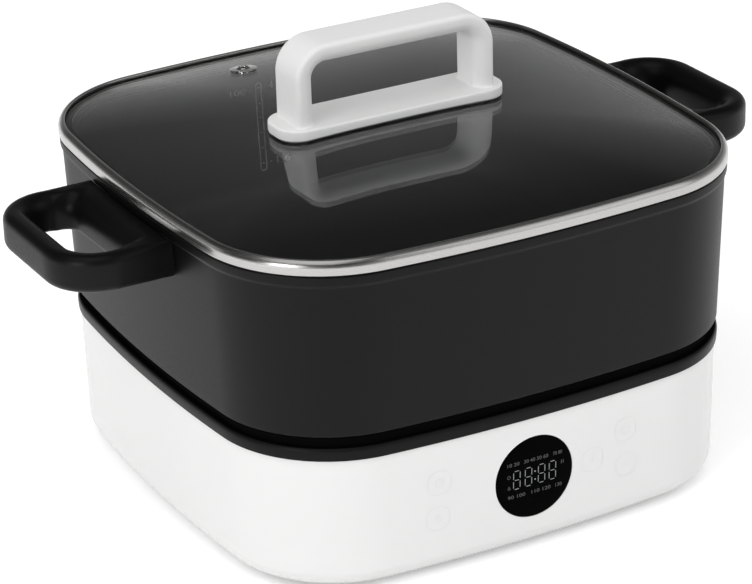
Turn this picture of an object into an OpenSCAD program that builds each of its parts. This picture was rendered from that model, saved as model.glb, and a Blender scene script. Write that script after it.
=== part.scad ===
// Electric hot pot: a white heating base, a cast pot that stands on it and a domed glass lid.
// Z is up, the origin is on the floor under the middle of the base, the display faces -Y
// and the two side handles lie along X.

/* [Outline seen from above] */
// Half of the width of the lid rim, the widest square of the body
rim_half = 140; // [130:0.5:155]
// Radius of the slow bow of each side
side_bow_r = 887; // [600:1:1500]
// Corner radius of the lid rim
corner_r = 65; // [55:1:75]

/* [Base shell] */
// Height of the white shell
shell_h = 68; // [60:1:85]
// How much narrower the shell is at its top edge than the pot's foot, each side
shell_inset = 0.9; // [0.5:0.1:3]
// How much narrower the shell is at its foot, each side
shell_draft = 1; // [0:0.1:2]
// Radius of the shell's lower edge
shell_foot_r = 9.3; // [6:0.1:12]
// Wall of the shell
shell_wall = 2.6; // [2:0.1:3.5]

/* [Seat ring] */
// How far the black ring stands out over the shell, each side
ring_overhang = 1.3; // [0.5:0.1:2]
// Height of the ring's outer face
ring_h = 6.4; // [5:0.1:10]
// Height of the lip that stands up inside the ring's edge
ring_lip_h = 4.2; // [3:0.1:5]
// Distance of the heating plate's round opening from the shell's sides
well_inset = 31.2; // [30:0.1:36]
// Thickness of the deck
deck_t = 2.6; // [2:0.1:4]

/* [Feet and bottom cover] */
// Height of the rubber feet under the cover
foot_h = 3; // [2:0.5:6]
// Radius of a foot
foot_r = 9; // [6:0.5:11]
// Distance of each foot from the shell's side, along X
foot_inset_x = 45.2; // [42:0.1:55]
// Distance of each foot from the shell's side, along Y
foot_inset_y = 69.2; // [65:0.1:85]
// Thickness of the bottom cover
cover_t = 2.5; // [2:0.1:4]
// Distance of each cover screw from the shell's sides
cover_screw_inset = 49.2; // [47.2:0.1:51]
// Width of one vent slot
vent_slot_w = 3; // [2:0.5:5]
// Length of one vent slot
vent_slot_l = 44; // [20:1:60]
// Number of vent slots
vent_slots = 9; // [3:1:12]

/* [Heating plate] */
// Gap round the heating plate in the pan's opening
plate_gap = 6; // [5:0.5:14]
// Thickness of the heating plate
plate_t = 7; // [6:0.5:9]
// Distance of the heating element's ring from the plate's edge
element_inset = 30; // [26:1:40]
// Radius of the element's tube
element_tube_r = 4; // [3:0.25:4.5]
// Depth of the pan under the heating plate
shield_drop = 18; // [15:0.5:22]
// Sheet thickness of the pan
shield_t = 0.8; // [0.5:0.1:1.5]
// Distance of the plate's three legs from the plate's edge
leg_inset = 13; // [10:0.5:17]

/* [Temperature plunger] */
// Radius of the plunger's cap
cap_r = 15; // [12:0.5:17]
// Travel of the plunger when the pot is lifted
plunger_travel = 3; // [2:0.5:3.5]
// Wire radius of the plunger's spring
spring_wire_r = 0.6; // [0.4:0.05:0.8]
// Turns of the plunger's spring
spring_turns = 5; // [4:1:6]

/* [Pot] */
// Height of the pot from its underside to its brim
pot_h = 84.2; // [70:0.1:120]
// How much narrower the pot is under its brim than the lid rim, each side
pot_inset = 1.3; // [1.1:0.1:3]
// How much narrower the pot is at its foot than under its brim, each side
pot_draft = 2.6; // [1:0.1:6]
// Wall of the pot
pot_wall = 3.1; // [2.5:0.1:4]
// Thickness of the pot's floor
pot_floor_t = 4.5; // [3:0.1:7]
// Radius between floor and wall inside the pot
pot_floor_r = 14; // [8:0.5:20]
// Height of the thicker brim
brim_h = 5.8; // [4:0.1:8]

/* [Side handles] */
// How far the side handles stand out from the lid rim
handle_out = 52.6; // [48:0.1:60]
// Half of the length of a side handle
handle_half_l = 46.5; // [42:0.5:55]
// Outer corner radius of a side handle
handle_corner_r = 26; // [18:0.5:30]
// Thickness of a side handle, top to bottom
handle_t = 18.5; // [17:0.1:21]
// Depth of a side handle's underside under the pot's brim
handle_drop = 23; // [22.2:0.1:34]
// Width of the grip bar
grip_w = 12.8; // [10:0.1:16]
// Half of the finger gap's length
grip_gap_half_l = 34; // [28:0.5:35]
// Depth of the solid part next to the pot
pad_w = 16; // [15:0.1:18]
// Rounding of the handle's edges
handle_edge_r = 5.2; // [3:0.1:5.5]
// Rounding of the upper edge next to the fingers
grip_inner_r = 6.8; // [3:0.1:7.5]

/* [Lid] */
// Height of the steel rim
rim_h = 7.2; // [6.5:0.1:10]
// Width of the rim's lip over the glass
rim_lip_w = 3.4; // [3.3:0.1:7]
// Thickness of the glass
glass_t = 4; // [3:0.1:5]
// Height of the dome from its edge to its middle
dome_rise = 9.9; // [5:0.1:20]
// Shape of the dome, 2 is even and more is flatter in the middle
dome_power = 2.6; // [2:0.1:4]
// Steam eyelet's distance to the left of the middle
vent_x = 26.6; // [10:0.1:60]
// Steam eyelet's distance from the back of the rim
vent_inset = 38.3; // [28:0.1:50]
// Radius of the eyelet's flange
vent_flange_r = 7; // [5:0.1:9]
// Radius of the eyelet's tube
vent_tube_r = 3.4; // [2.5:0.1:4]

/* [Bridge handle on the lid] */
// Half of the bridge's length
bridge_half_l = 54.3; // [50:0.1:56]
// Height of the bridge over its base plate
bridge_h = 38.3; // [30:0.1:50]
// Thickness of the bridge's bar and legs
bridge_t = 9.8; // [8:0.1:11]
// Depth of the bridge, front to back
bridge_d = 24; // [18:0.1:28]
// Outer corner radius of the bridge
bridge_corner_r = 17; // [12:0.5:20]
// Rounding of the bridge's edges
bridge_edge_r = 1.1; // [0.6:0.1:1.8]
// Rounding of the bridge's edges towards the fingers
bridge_inner_r = 6.6; // [3:0.1:6.8]
// Half of the base plate's length
bridge_plate_half_l = 60.5; // [58:0.1:66]
// Half of the base plate's depth
bridge_plate_half_d = 15.5; // [14.5:0.1:18]
// Thickness of the base plate
bridge_plate_t = 5.5; // [4:0.1:7]
// Least thickness of the gasket under the base plate
gasket_t = 1.2; // [0.8:0.1:2]

/* [Display and keys] */
// Radius of the round display window
lens_r = 21; // [18:0.5:24]
// Height of the window's centre over the floor
lens_z = 39.7; // [34:0.1:42]
// Distance of the outer keys from the window's centre
key_x = 51.5; // [46:0.5:58]
// Distance of the middle key from the window's centre
key_mid_x = 32.7; // [31:0.1:40]
// Height between the upper and lower keys
key_dz = 19; // [14:0.5:24]

/* [Mains inlet] */
// Width of the inlet's body
inlet_w = 28; // [26:0.5:32]
// Height of the inlet's body
inlet_h = 20; // [18:0.5:24]
// Depth of the inlet's body
inlet_d = 26; // [22:0.5:30]
// Height of the inlet's centre over the floor
inlet_z = 30; // [24:0.5:36]

/* [Clearances] */
// Gap between pieces that lift off each other
seat_gap = 0.3; // [0.2:0.05:0.5]
// Gap round a piece that is put into a hole
fit_gap = 0.4; // [0.2:0.05:0.6]
// Gap round a screw in a clearance hole
screw_gap = 0.3; // [0.2:0.05:0.5]

/* [Hidden] */
$fn = 64;

white = [0.93, 0.93, 0.92];
black = [0.08, 0.08, 0.09];
steel = [0.75, 0.75, 0.77];
board_green = [0.1, 0.35, 0.22];

// ---------- the bowed square and what is lofted from it ----------

// steps of one half side and of one corner
side_n = 3;
corner_n = 10;
quarter_n = 2 * side_n + corner_n;
ring_n = 4 * quarter_n;

side_c = rim_half - side_bow_r;
corner_c = (side_c + sqrt(2 * pow(side_bow_r - corner_r, 2) - side_c * side_c)) / 2;
join_a = atan2(corner_c, corner_c - side_c);

// point k of the first quarter, as far inside the rim's outline as inset
function quarter_point(k, inset) =
    k > quarter_n / 2 ? let (p = quarter_point(quarter_n - k, inset)) [p[1], p[0]] :
    k < side_n ? let (a = join_a * k / side_n, r = side_bow_r - inset)
        [side_c + r * cos(a), r * sin(a)] :
    let (a = join_a + (90 - 2 * join_a) * (k - side_n) / corner_n, r = corner_r - inset)
        [corner_c + r * cos(a), corner_c + r * sin(a)];

function turned(p, q) = q == 0 ? p : q == 1 ? [-p[1], p[0]] : q == 2 ? -p : [p[1], -p[0]];

// the whole outline at half width w, and the same number of points on a circle
function outline(w) = [for (j = [0:ring_n - 1])
    turned(quarter_point(j % quarter_n, rim_half - w), floor(j / quarter_n))];
function round_outline(r) = [for (p = outline(rim_half)) r * p / norm(p)];
function at_height(points, z) = [for (p = points) [p[0], p[1], z]];

// x of the outline's +X side at half width w, a distance y from its middle
function side_x(w, y) = side_c + sqrt(pow(side_bow_r - rim_half + w, 2) - y * y);

// rows of faces between rings, all with n points
function skin(rows, n, closed) = [for (i = [0:rows - (closed ? 1 : 2)]) for (j = [0:n - 1])
    let (a = i * n + j, b = i * n + (j + 1) % n,
        c = ((i + 1) % rows) * n + (j + 1) % n, d = ((i + 1) % rows) * n + j)
    each [[a, c, b], [a, d, c]]];

// a solid stacked from rings, the lowest first, with a flat face on the first and last ring
module stack(rings) {
    n = len(rings[0]);
    rows = len(rings);
    polyhedron([for (r = rings) each r], concat(skin(rows, n, false),
        [[for (j = [0:n - 1]) j]],
        [[for (j = [n - 1:-1:0]) (rows - 1) * n + j]]), convexity = 6);
}

// a ring-shaped solid whose section is a closed row of rings
module hoop(rings) {
    n = len(rings[0]);
    polyhedron([for (r = rings) each r], skin(len(rings), n, true), convexity = 8);
}

// points on an arc of a section: half width and height
function section_arc(w, z, r, a0, a1, n) =
    [for (i = [0:n]) let (a = a0 + (a1 - a0) * i / n) [w + r * cos(a), z + r * sin(a)]];
function section_rings(points) = [for (p = points) at_height(outline(p[0]), p[1])];

// a rectangle with round corners, counter-clockwise from the +X +Y corner
function round_rect(hx, hy, radii, n) = [for (q = [0:3]) for (i = [0:n])
    let (sx = (q == 0 || q == 3) ? 1 : -1, sy = q < 2 ? 1 : -1, r = radii[q],
        a = 90 * q + 90 * i / n)
    [sx * (hx - r) + r * cos(a), sy * (hy - r) + r * sin(a)]];

// ---------- half widths, each taken from the lid rim's ----------

pot_top_half = rim_half - pot_inset;
pot_foot_half = pot_top_half - pot_draft;
shell_half = pot_foot_half - shell_inset;
well_r = shell_half - well_inset;
plate_r = well_r - plate_gap;
element_r = plate_r - element_inset;
leg_pos = plate_r - leg_inset;
cover_screw_pos = shell_half - cover_screw_inset;
foot_x = shell_half - foot_inset_x;
foot_y = shell_half - foot_inset_y;
handle_reach = rim_half + handle_out;
vent_y = rim_half - vent_inset;

// ---------- heights ----------

cover_z = foot_h;
shell_z = foot_h;
shell_top = shell_z + shell_h;
ring_top = shell_top + ring_h;
lip_top = ring_top + ring_lip_h;
seat_rise = 9;
pot_z = shell_top + seat_rise;
brim_z = pot_z + pot_h;
rim_z = brim_z + seat_gap;
rim_top = rim_z + rim_h;
glass_edge_z = rim_top - 1.6;
glass_mid_z = glass_edge_z + dome_rise;
bridge_z = glass_mid_z + gasket_t;

// ---------- base shell ----------

shell_foot_half = shell_half - shell_draft;
foot_arc_w = shell_foot_half - shell_foot_r;
// half width of the shell's outer face at height z
function shell_w(z) = shell_half - shell_draft * (shell_top - z) / (shell_h - shell_foot_r);

module shell_blank() {
    arc_z = shell_z + shell_foot_r;
    inner_r = shell_foot_r - shell_wall;
    hoop(section_rings(concat(
        section_arc(foot_arc_w, arc_z, shell_foot_r, -90, 0, 6),
        [[shell_half, shell_top], [shell_half - shell_wall, shell_top]],
        section_arc(foot_arc_w, arc_z, inner_r, 0, -90, 4))));
}

lens_wall_y = -shell_w(lens_z);
module toward_front(x, y, z) {
    translate([x, y, z]) rotate([90, 0, 0]) children();
}

board_half_w = 66;
board_half_h = 20;
board_t = 1.6;
control_gap = 8;
control_y = lens_wall_y + shell_wall + control_gap;
control_hole_x = board_half_w - 5;
control_hole_z = board_half_h - 5;
screw_r = 1.5;
pilot_r = 1.2;
boss_r = 3.4;

module at_control_holes() {
    for (x = [-control_hole_x, control_hole_x], z = [-control_hole_z, control_hole_z])
        translate([x, 0, lens_z + z]) children();
}

inlet_wall_y = shell_w(inlet_z);
inlet_hole_w = inlet_w + 2 * fit_gap;
inlet_hole_h = inlet_h + 2 * fit_gap;
inlet_flange = 7;
inlet_flange_t = 2.4;
inlet_flange_y = inlet_wall_y - shell_wall - 0.6 - inlet_flange_t;
inlet_screw_x = inlet_w / 2 + inlet_flange / 2 + 0.5;
inlet_boss_r = 2.8;

// how far behind the control board's face the middle of the front wall lies, a distance x aside
function wall_reach(x) = side_x(shell_w(lens_z) - shell_wall / 2, x) + control_y;

module base_shell() color(white) difference() {
    union() {
        shell_blank();
        at_control_holes() toward_front(0, control_y, 0)
            cylinder(h = wall_reach(control_hole_x), r = boss_r);
        for (x = [-inlet_screw_x, inlet_screw_x])
            toward_front(x, inlet_wall_y - shell_wall / 2, inlet_z)
                cylinder(h = shell_wall / 2 + 0.6, r = inlet_boss_r);
    }
    toward_front(0, lens_wall_y + shell_wall + 2, lens_z)
        cylinder(h = shell_wall + 6, r = lens_r + fit_gap / 2);
    at_control_holes() toward_front(0, control_y + 1, 0)
        cylinder(h = wall_reach(control_hole_x), r = pilot_r);
    translate([-inlet_hole_w / 2, inlet_wall_y - shell_wall - 4, inlet_z - inlet_hole_h / 2])
        cube([inlet_hole_w, shell_wall + 8, inlet_hole_h]);
    for (x = [-inlet_screw_x, inlet_screw_x])
        toward_front(x, inlet_wall_y - shell_wall / 2, inlet_z) cylinder(h = 4, r = pilot_r);
}

// ---------- seat ring: the black ring, its deck and the posts under it ----------

ring_half = shell_half + ring_overhang;
groove_half = shell_half - 0.2;
deck_z = lip_top - 4.8;
skirt_half = shell_half - shell_wall - fit_gap;
skirt_h = 5;
post_r = 5;
shield_screw_pos = well_r + 3;
shield_boss_r = 4.5;
shield_flange_r = shield_screw_pos + shield_boss_r + 0.5;
shield_flange_z = deck_z - deck_t - 8;
cover_top = cover_z + cover_t;

module seat_ring() color(black) difference() {
    union() {
        hoop(concat(
            section_rings([[ring_half - 0.3, shell_top], [ring_half, ring_top - 2],
                [ring_half - 0.3, ring_top - 0.7], [ring_half - 1.1, ring_top],
                [groove_half - 1.9, ring_top + 0.1], [groove_half - 2.1, ring_top + 0.5],
                [groove_half - 2.2, lip_top - 0.5], [groove_half - 2.7, lip_top],
                [groove_half - 3.5, lip_top], [groove_half - 4.1, lip_top - 0.5],
                [groove_half - 4.8, deck_z + 0.4]]),
            [at_height(round_outline(well_r), deck_z),
                at_height(round_outline(well_r), deck_z - deck_t)],
            section_rings([[skirt_half - 2.4, deck_z - deck_t], [skirt_half - 2.4, shell_top - skirt_h],
                [skirt_half, shell_top - skirt_h], [skirt_half, shell_top]])));
        for (x = [-cover_screw_pos, cover_screw_pos], y = [-cover_screw_pos, cover_screw_pos])
            translate([x, y, cover_top]) cylinder(h = deck_z - deck_t / 2 - cover_top, r = post_r);
        for (a = [0:90:270]) rotate([0, 0, a]) translate([shield_screw_pos, 0, shield_flange_z])
            cylinder(h = deck_z - deck_t / 2 - shield_flange_z, r = shield_boss_r);
    }
    for (x = [-cover_screw_pos, cover_screw_pos], y = [-cover_screw_pos, cover_screw_pos])
        translate([x, y, cover_top - 1]) cylinder(h = 17, r = pilot_r);
    for (a = [0:90:270]) rotate([0, 0, a])
        translate([shield_screw_pos, 0, shield_flange_z - 1]) cylinder(h = 8, r = pilot_r);
}

// ---------- bottom cover, feet and their screws ----------

cover_half = foot_arc_w - fit_gap;
stud_r = 2.6;
screw_head_r = 3;
screw_head_h = 2;
standoff_h = 8;
power_x = 28;
power_y = shell_half - 73.2;
power_half_x = 45;
power_half_y = 27;
power_z = cover_top + standoff_h;

module at_power_holes() {
    for (x = [-1, 1], y = [-1, 1])
        translate([power_x + x * (power_half_x - 4), power_y + y * (power_half_y - 4), 0])
            children();
}

module bottom_cover() color(black) difference() {
    union() {
        stack([at_height(outline(cover_half), cover_z), at_height(outline(cover_half), cover_top)]);
        at_power_holes() translate([0, 0, cover_z + 1])
            cylinder(h = cover_t - 1 + standoff_h, r = boss_r);
    }
    for (x = [-cover_screw_pos, cover_screw_pos], y = [-cover_screw_pos, cover_screw_pos])
        translate([x, y, cover_z - 1]) cylinder(h = cover_t + 2, r = screw_r + screw_gap);
    at_feet() translate([0, 0, cover_z - 1]) cylinder(h = cover_t + 2, r = stud_r + 0.1);
    at_power_holes() translate([0, 0, power_z - 7]) cylinder(h = 8, r = pilot_r);
    for (i = [0:vent_slots - 1])
        translate([-vent_slot_l / 2 - 34, (i - (vent_slots - 1) / 2) * 2.4 * vent_slot_w - 48,
            cover_z - 1])
            cube([vent_slot_l, vent_slot_w, cover_t + 2]);
}

module at_feet() {
    for (x = [-foot_x, foot_x], y = [-foot_y, foot_y]) translate([x, y, 0]) children();
}

module feet() color(black) at_feet() rotate_extrude()
    polygon([[0, 0], [foot_r - 1, 0], [foot_r, 1], [foot_r, foot_h],
        [stud_r, foot_h], [stud_r, foot_h + cover_t], [stud_r + 0.8, foot_h + cover_t],
        [stud_r - 0.6, foot_h + cover_t + 2], [0, foot_h + cover_t + 2]]);

// a pan-head screw: its thread goes up from z = 0 and its head hangs below
module screw_up(shank_r, length, head_r, head_h) {
    union() {
        cylinder(h = length, r = shank_r);
        translate([0, 0, -head_h]) cylinder(h = head_h, r = head_r);
    }
}

module cover_screws() color(steel)
    for (x = [-cover_screw_pos, cover_screw_pos], y = [-cover_screw_pos, cover_screw_pos])
        translate([x, y, cover_z]) screw_up(pilot_r, 14, screw_head_r, screw_head_h);

// ---------- heating plate, element and pan ----------

plate_top = pot_z - seat_gap;
plate_z = plate_top - plate_t;
shield_z = plate_z - shield_drop;
leg_r = 5;
plate_hole_r = cap_r + 1.6;
element_z = plate_z - 1;
element_gap_a = 50;
fuse_x = -40;
fuse_r = 2.6;
fuse_l = 22;
clip_w = 8;
clip_screw_x = fuse_r + 4.2;

module at_plate_legs() {
    for (a = [90, 210, 330]) rotate([0, 0, a]) translate([leg_pos, 0, 0]) children();
}

module heating_plate() color([0.62, 0.62, 0.64]) difference() {
    union() {
        rotate_extrude($fn = 96) polygon([[plate_hole_r, plate_z], [plate_r - 1.5, plate_z],
            [plate_r, plate_z + 1.5], [plate_r, plate_top - 0.8], [plate_r - 0.8, plate_top],
            [plate_hole_r + 0.8, plate_top], [plate_hole_r, plate_top - 0.8]]);
        at_plate_legs() translate([0, 0, shield_z + shield_t])
            cylinder(h = plate_z + 1 - shield_z - shield_t, r = leg_r);
    }
    rotate_extrude($fn = 96) translate([element_r, element_z])
        circle(r = element_tube_r + 0.05, $fn = 32);
    at_plate_legs() translate([0, 0, shield_z]) cylinder(h = 13, r = pilot_r);
    for (x = [-clip_screw_x, clip_screw_x])
        translate([fuse_x + x, 0, plate_z - 1]) cylinder(h = 5, r = pilot_r);
}

module heating_element() color([0.35, 0.35, 0.36]) {
    a0 = 270 + element_gap_a / 2;
    union() {
        rotate([0, 0, a0]) rotate_extrude(angle = 360 - element_gap_a, $fn = 96)
            translate([element_r, element_z]) circle(r = element_tube_r, $fn = 32);
        for (a = [a0, a0 - element_gap_a]) rotate([0, 0, a]) translate([element_r, 0, 0]) {
            translate([0, 0, element_z]) sphere(r = element_tube_r, $fn = 32);
            translate([0, 0, shield_z - 6]) cylinder(h = element_z - shield_z + 6, r = element_tube_r,
                $fn = 32);
            translate([0, 0, shield_z - 13]) cylinder(h = 8, r = 1.2, $fn = 24);
        }
    }
}

module heat_shield() color(steel) difference() {
    rotate_extrude($fn = 96) polygon([[8, shield_z], [well_r - 3, shield_z],
        [well_r - 2, shield_z + 1], [well_r - 2, shield_flange_z - shield_t],
        [shield_flange_r, shield_flange_z - shield_t], [shield_flange_r, shield_flange_z],
        [well_r - 2 - shield_t, shield_flange_z], [well_r - 2 - shield_t, shield_z + 1.6],
        [well_r - 3.6, shield_z + shield_t], [8, shield_z + shield_t]]);
    at_plate_legs() translate([0, 0, shield_z - 1]) cylinder(h = 3, r = screw_r + screw_gap);
    for (a = [0:90:270]) rotate([0, 0, a]) translate([shield_screw_pos, 0, shield_flange_z - 2])
        cylinder(h = 3, r = screw_r + screw_gap);
    for (a = [-1, 1]) rotate([0, 0, 270 + a * element_gap_a / 2])
        translate([element_r, 0, shield_z - 1]) cylinder(h = 3, r = element_tube_r + fit_gap);
}

module plate_screws() color(steel) at_plate_legs()
    translate([0, 0, shield_z]) screw_up(pilot_r, 11, screw_head_r, screw_head_h);

module shield_screws() color(steel) for (a = [0:90:270]) rotate([0, 0, a])
    translate([shield_screw_pos, 0, shield_flange_z - shield_t])
        screw_up(pilot_r, 7, screw_head_r, screw_head_h);

// ---------- temperature plunger ----------

guide_floor = shield_z + shield_t;
guide_r = cap_r + 3.6;
guide_in_r = cap_r + 2.4;
collar_r = guide_in_r - 0.3;
collar_z = plate_z - plunger_travel - 4;
guide_lip_z = collar_z + 2 + plunger_travel + 0.5;
guide_h = guide_lip_z + 1.5 - guide_floor;

module sensor_guide() color([0.85, 0.82, 0.74]) rotate_extrude()
    polygon([[2.5, guide_floor], [guide_r, guide_floor], [guide_r, guide_floor + guide_h],
        [cap_r + 0.3, guide_floor + guide_h], [cap_r + 0.3, guide_lip_z], [guide_in_r, guide_lip_z],
        [guide_in_r, guide_floor + 1.6], [2.5, guide_floor + 1.6]]);

cap_top = plate_top;
cap_wall = 1.2;
module sensor_cap() color([0.8, 0.8, 0.82]) rotate_extrude()
    polygon([[0, cap_top - cap_wall], [0, cap_top], [cap_r - 1, cap_top], [cap_r, cap_top - 1],
        [cap_r, collar_z + 2], [collar_r, collar_z + 2], [collar_r, collar_z],
        [cap_r - cap_wall, collar_z], [cap_r - cap_wall, cap_top - cap_wall]]);

module thermistor() color(black) translate([0, 0, cap_top - cap_wall - 7]) cylinder(h = 7, r = 3);

spring_low = guide_floor + 1.6;
spring_high = cap_top - cap_wall;
spring_r = cap_r - cap_wall - spring_wire_r - 1.2;
spring_steps = 12;

// ring of points round a path point, square to the path's direction
function tube_ring(p, direction, ref, r, n) =
    let (t = direction / norm(direction), u0 = cross(ref, t), u = u0 / norm(u0), v = cross(t, u))
    [for (i = [0:n - 1]) p + r * (cos(360 * i / n) * u + sin(360 * i / n) * v)];

// a round tube along a path
module tube(path, r, ref, n = 6) {
    last = len(path) - 1;
    stack([for (i = [0:last]) tube_ring(path[i], path[min(i + 1, last)] - path[max(i - 1, 0)],
        ref, r, n)]);
}

module sensor_spring() color(steel) {
    steps = spring_turns * spring_steps;
    rise = spring_high - spring_low - 2 * spring_wire_r - 0.1;
    tube([for (i = [0:steps]) [spring_r * cos(360 * i / spring_steps),
        spring_r * sin(360 * i / spring_steps),
        spring_low + spring_wire_r + 0.05 + rise * i / steps]], spring_wire_r, [0, 0, 1]);
}

// ---------- cut-out on the plate ----------

module thermal_fuse() color([0.9, 0.88, 0.8])
    translate([fuse_x, fuse_l / 2, plate_z - fuse_r]) rotate([90, 0, 0])
        cylinder(h = fuse_l, r = fuse_r);

clip_t = 0.8;
module fuse_clip() color(steel) difference() {
    translate([fuse_x, clip_w / 2, plate_z]) rotate([90, 0, 0]) linear_extrude(clip_w) difference() {
        union() {
            translate([0, -fuse_r]) circle(r = fuse_r + clip_t);
            translate([-fuse_r - clip_t, -fuse_r]) square([2 * (fuse_r + clip_t), fuse_r]);
            translate([-clip_screw_x - 3.4, -clip_t]) square([2 * clip_screw_x + 6.8, clip_t]);
        }
        translate([0, -fuse_r]) circle(r = fuse_r + 0.05);
        translate([-fuse_r - 0.05, -fuse_r]) square([2 * fuse_r + 0.1, fuse_r + 1]);
    }
    for (x = [-clip_screw_x, clip_screw_x])
        translate([fuse_x + x, 0, plate_z - 2]) cylinder(h = 3, r = pilot_r + 0.2);
}

module clip_screws() color(steel) for (x = [-clip_screw_x, clip_screw_x])
    translate([fuse_x + x, 0, plate_z - clip_t]) screw_up(pilot_r, 4, 2.2, 1.4);

// ---------- power supply ----------

module power_board() color(board_green) difference() {
    translate([power_x - power_half_x, power_y - power_half_y, power_z])
        cube([2 * power_half_x, 2 * power_half_y, board_t]);
    at_power_holes() translate([0, 0, power_z - 1]) cylinder(h = 4, r = screw_r + 0.1);
}

power_top = power_z + board_t;
module on_board(x, y) {
    translate([power_x + x, power_y + y, power_top]) children();
}
module relay() color([0.15, 0.25, 0.5]) on_board(-34, -20) cube([19, 15, 15]);
module filter_capacitor() color([0.75, 0.65, 0.2]) on_board(-12, -20) cube([18, 9, 15]);
module transformer() color([0.85, 0.75, 0.2]) on_board(12, -16) {
    difference() {
        cube([22, 18, 17]);
        for (x = [-1, 15]) translate([x, -1, 3]) cube([8, 20, 11]);
    }
}
module line_fuse() color([0.8, 0.85, 0.85]) on_board(-8, -3) rotate([0, 90, 0])
    translate([-3, 0, 0]) cylinder(h = 20, r = 3);
block_pitch = 8.7;
block_first = 4.6;
block_hole_h = 5;
lead_r = 1.4;
block_l = 44;
block_d = 11;
block_h = 12;
block_off_x = 30;
block_off_y = 10;
block_hole_l = 8;
module terminal_block() color([0.2, 0.5, 0.3]) on_board(-block_off_x, block_off_y) difference() {
    cube([block_l, block_d, block_h]);
    for (i = [0:4]) translate([block_first + i * block_pitch, block_d + 1, block_hole_h])
        rotate([90, 0, 0]) cylinder(h = block_hole_l, r = lead_r + 0.8);
}
module board_screws() color(steel) at_power_holes() translate([0, 0, power_top])
    rotate([180, 0, 0]) screw_up(pilot_r, 7, 2.6, 1.8);

// ---------- controls behind the front wall ----------

module control_board() color(board_green) difference() {
    translate([-board_half_w, control_y, lens_z - board_half_h])
        cube([2 * board_half_w, board_t, 2 * board_half_h]);
    at_control_holes() toward_front(0, control_y + 3, 0) cylinder(h = 5, r = screw_r + 0.1);
}

module control_screws() color(steel) at_control_holes()
    toward_front(0, control_y + board_t, 0) screw_up(pilot_r, board_t + 5.4, 2.6, 1.8);

lens_flange_t = 1.2;
lens_back_y = lens_wall_y + shell_wall + 0.8 + lens_flange_t;
module display_module() color([0.12, 0.12, 0.13])
    translate([-17, lens_back_y + 0.1, lens_z - 11]) cube([34, control_y - lens_back_y - 0.1, 22]);

module at_keys() {
    for (z = [-key_dz / 2, key_dz / 2]) {
        translate([-key_x, 0, lens_z + z]) children();
        translate([key_x, 0, lens_z + z]) children();
    }
    translate([key_mid_x, 0, lens_z]) children();
}
key_pad_r = 3.6;
module touch_pads() color([0.3, 0.3, 0.3]) at_keys() toward_front(0, control_y, 0)
    cylinder(h = wall_reach(key_x + key_pad_r) - shell_wall / 2 - 0.2, r = key_pad_r);

module buzzer() color(black) toward_front(-30, control_y + board_t + 8, lens_z)
    cylinder(h = 8, r = 6);

module display_lens() color([0.02, 0.02, 0.03]) toward_front(0, lens_back_y, lens_z)
    rotate_extrude($fn = 96) polygon([[0, 0], [lens_r + 2.4, 0], [lens_r + 2.4, lens_flange_t],
        [lens_r, lens_flange_t], [lens_r, lens_back_y - lens_wall_y - 0.4],
        [lens_r - 0.3, lens_back_y - lens_wall_y - 0.1], [0, lens_back_y - lens_wall_y - 0.1]]);

ribbon_t = 0.8;
module display_ribbon() color([0.7, 0.7, 0.72]) {
    y0 = control_y + board_t;
    y1 = power_y - power_half_y;
    z0 = lens_z - board_half_h + 4;
    translate([10, 0, 0]) rotate([90, 0, 90]) linear_extrude(14)
        polygon([[y0, z0], [y0 + 8, z0], [y0 + 14, cover_top + 1], [y1 - 12, cover_top + 1],
            [y1 - 4, power_top], [y1 + 4, power_top], [y1 + 4, power_top + ribbon_t],
            [y1 - 4.4, power_top + ribbon_t], [y1 - 12.4, cover_top + 1 + ribbon_t],
            [y0 + 14.4, cover_top + 1 + ribbon_t], [y0 + 8.4, z0 + ribbon_t], [y0, z0 + ribbon_t]]);
}

// ---------- inlet ----------

pin_gap = 7;
module inlet_socket() color(black) difference() {
    union() {
        translate([-inlet_w / 2, inlet_wall_y - inlet_d, inlet_z - inlet_h / 2])
            cube([inlet_w, inlet_d - 0.2, inlet_h]);
        translate([-inlet_w / 2 - inlet_flange, inlet_flange_y, inlet_z - inlet_h / 2 - 2])
            cube([inlet_w + 2 * inlet_flange, inlet_flange_t, inlet_h + 4]);
    }
    translate([-inlet_w / 2 + 2, inlet_wall_y - inlet_d + 5, inlet_z - inlet_h / 2 + 2])
        cube([inlet_w - 4, inlet_d, inlet_h - 4]);
    at_inlet_pins() translate([-1.05, inlet_wall_y - inlet_d - 1, -2.05])
        cube([2.1, 8, 4.1]);
    for (x = [-inlet_screw_x, inlet_screw_x])
        toward_front(x, inlet_flange_y + inlet_flange_t + 1, inlet_z)
            cylinder(h = inlet_flange_t + 2, r = screw_r);
}

module at_inlet_pins() {
    translate([-pin_gap, 0, inlet_z - 2]) children();
    translate([0, 0, inlet_z + 2]) children();
    translate([pin_gap, 0, inlet_z - 2]) children();
}

module inlet_pins() color(steel) at_inlet_pins()
    translate([-1, inlet_wall_y - inlet_d - 7, -2]) cube([2, inlet_d + 2, 4]);

module inlet_screws() color(steel) for (x = [-inlet_screw_x, inlet_screw_x])
    translate([x, inlet_flange_y, inlet_z]) rotate([-90, 0, 0])
        screw_up(pilot_r, inlet_flange_t + 1.7, 2.6, 1.6);

// ---------- leads: routes as round numbers, smoothed by cutting their corners twice ----------

function cut_corners(p) = concat([p[0]],
    [for (i = [0:len(p) - 2]) each [0.75 * p[i] + 0.25 * p[i + 1], 0.25 * p[i] + 0.75 * p[i + 1]]],
    [p[len(p) - 1]]);
module lead(route) {
    tube(cut_corners(cut_corners(route)), lead_r, [0.3, 0.2, 1]);
}
pin_back_y = inlet_wall_y - inlet_d - 7;
block_y = power_y + 21;
block_x = power_x - block_off_x + block_first;
block_z = power_top + block_hole_h;

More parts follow.
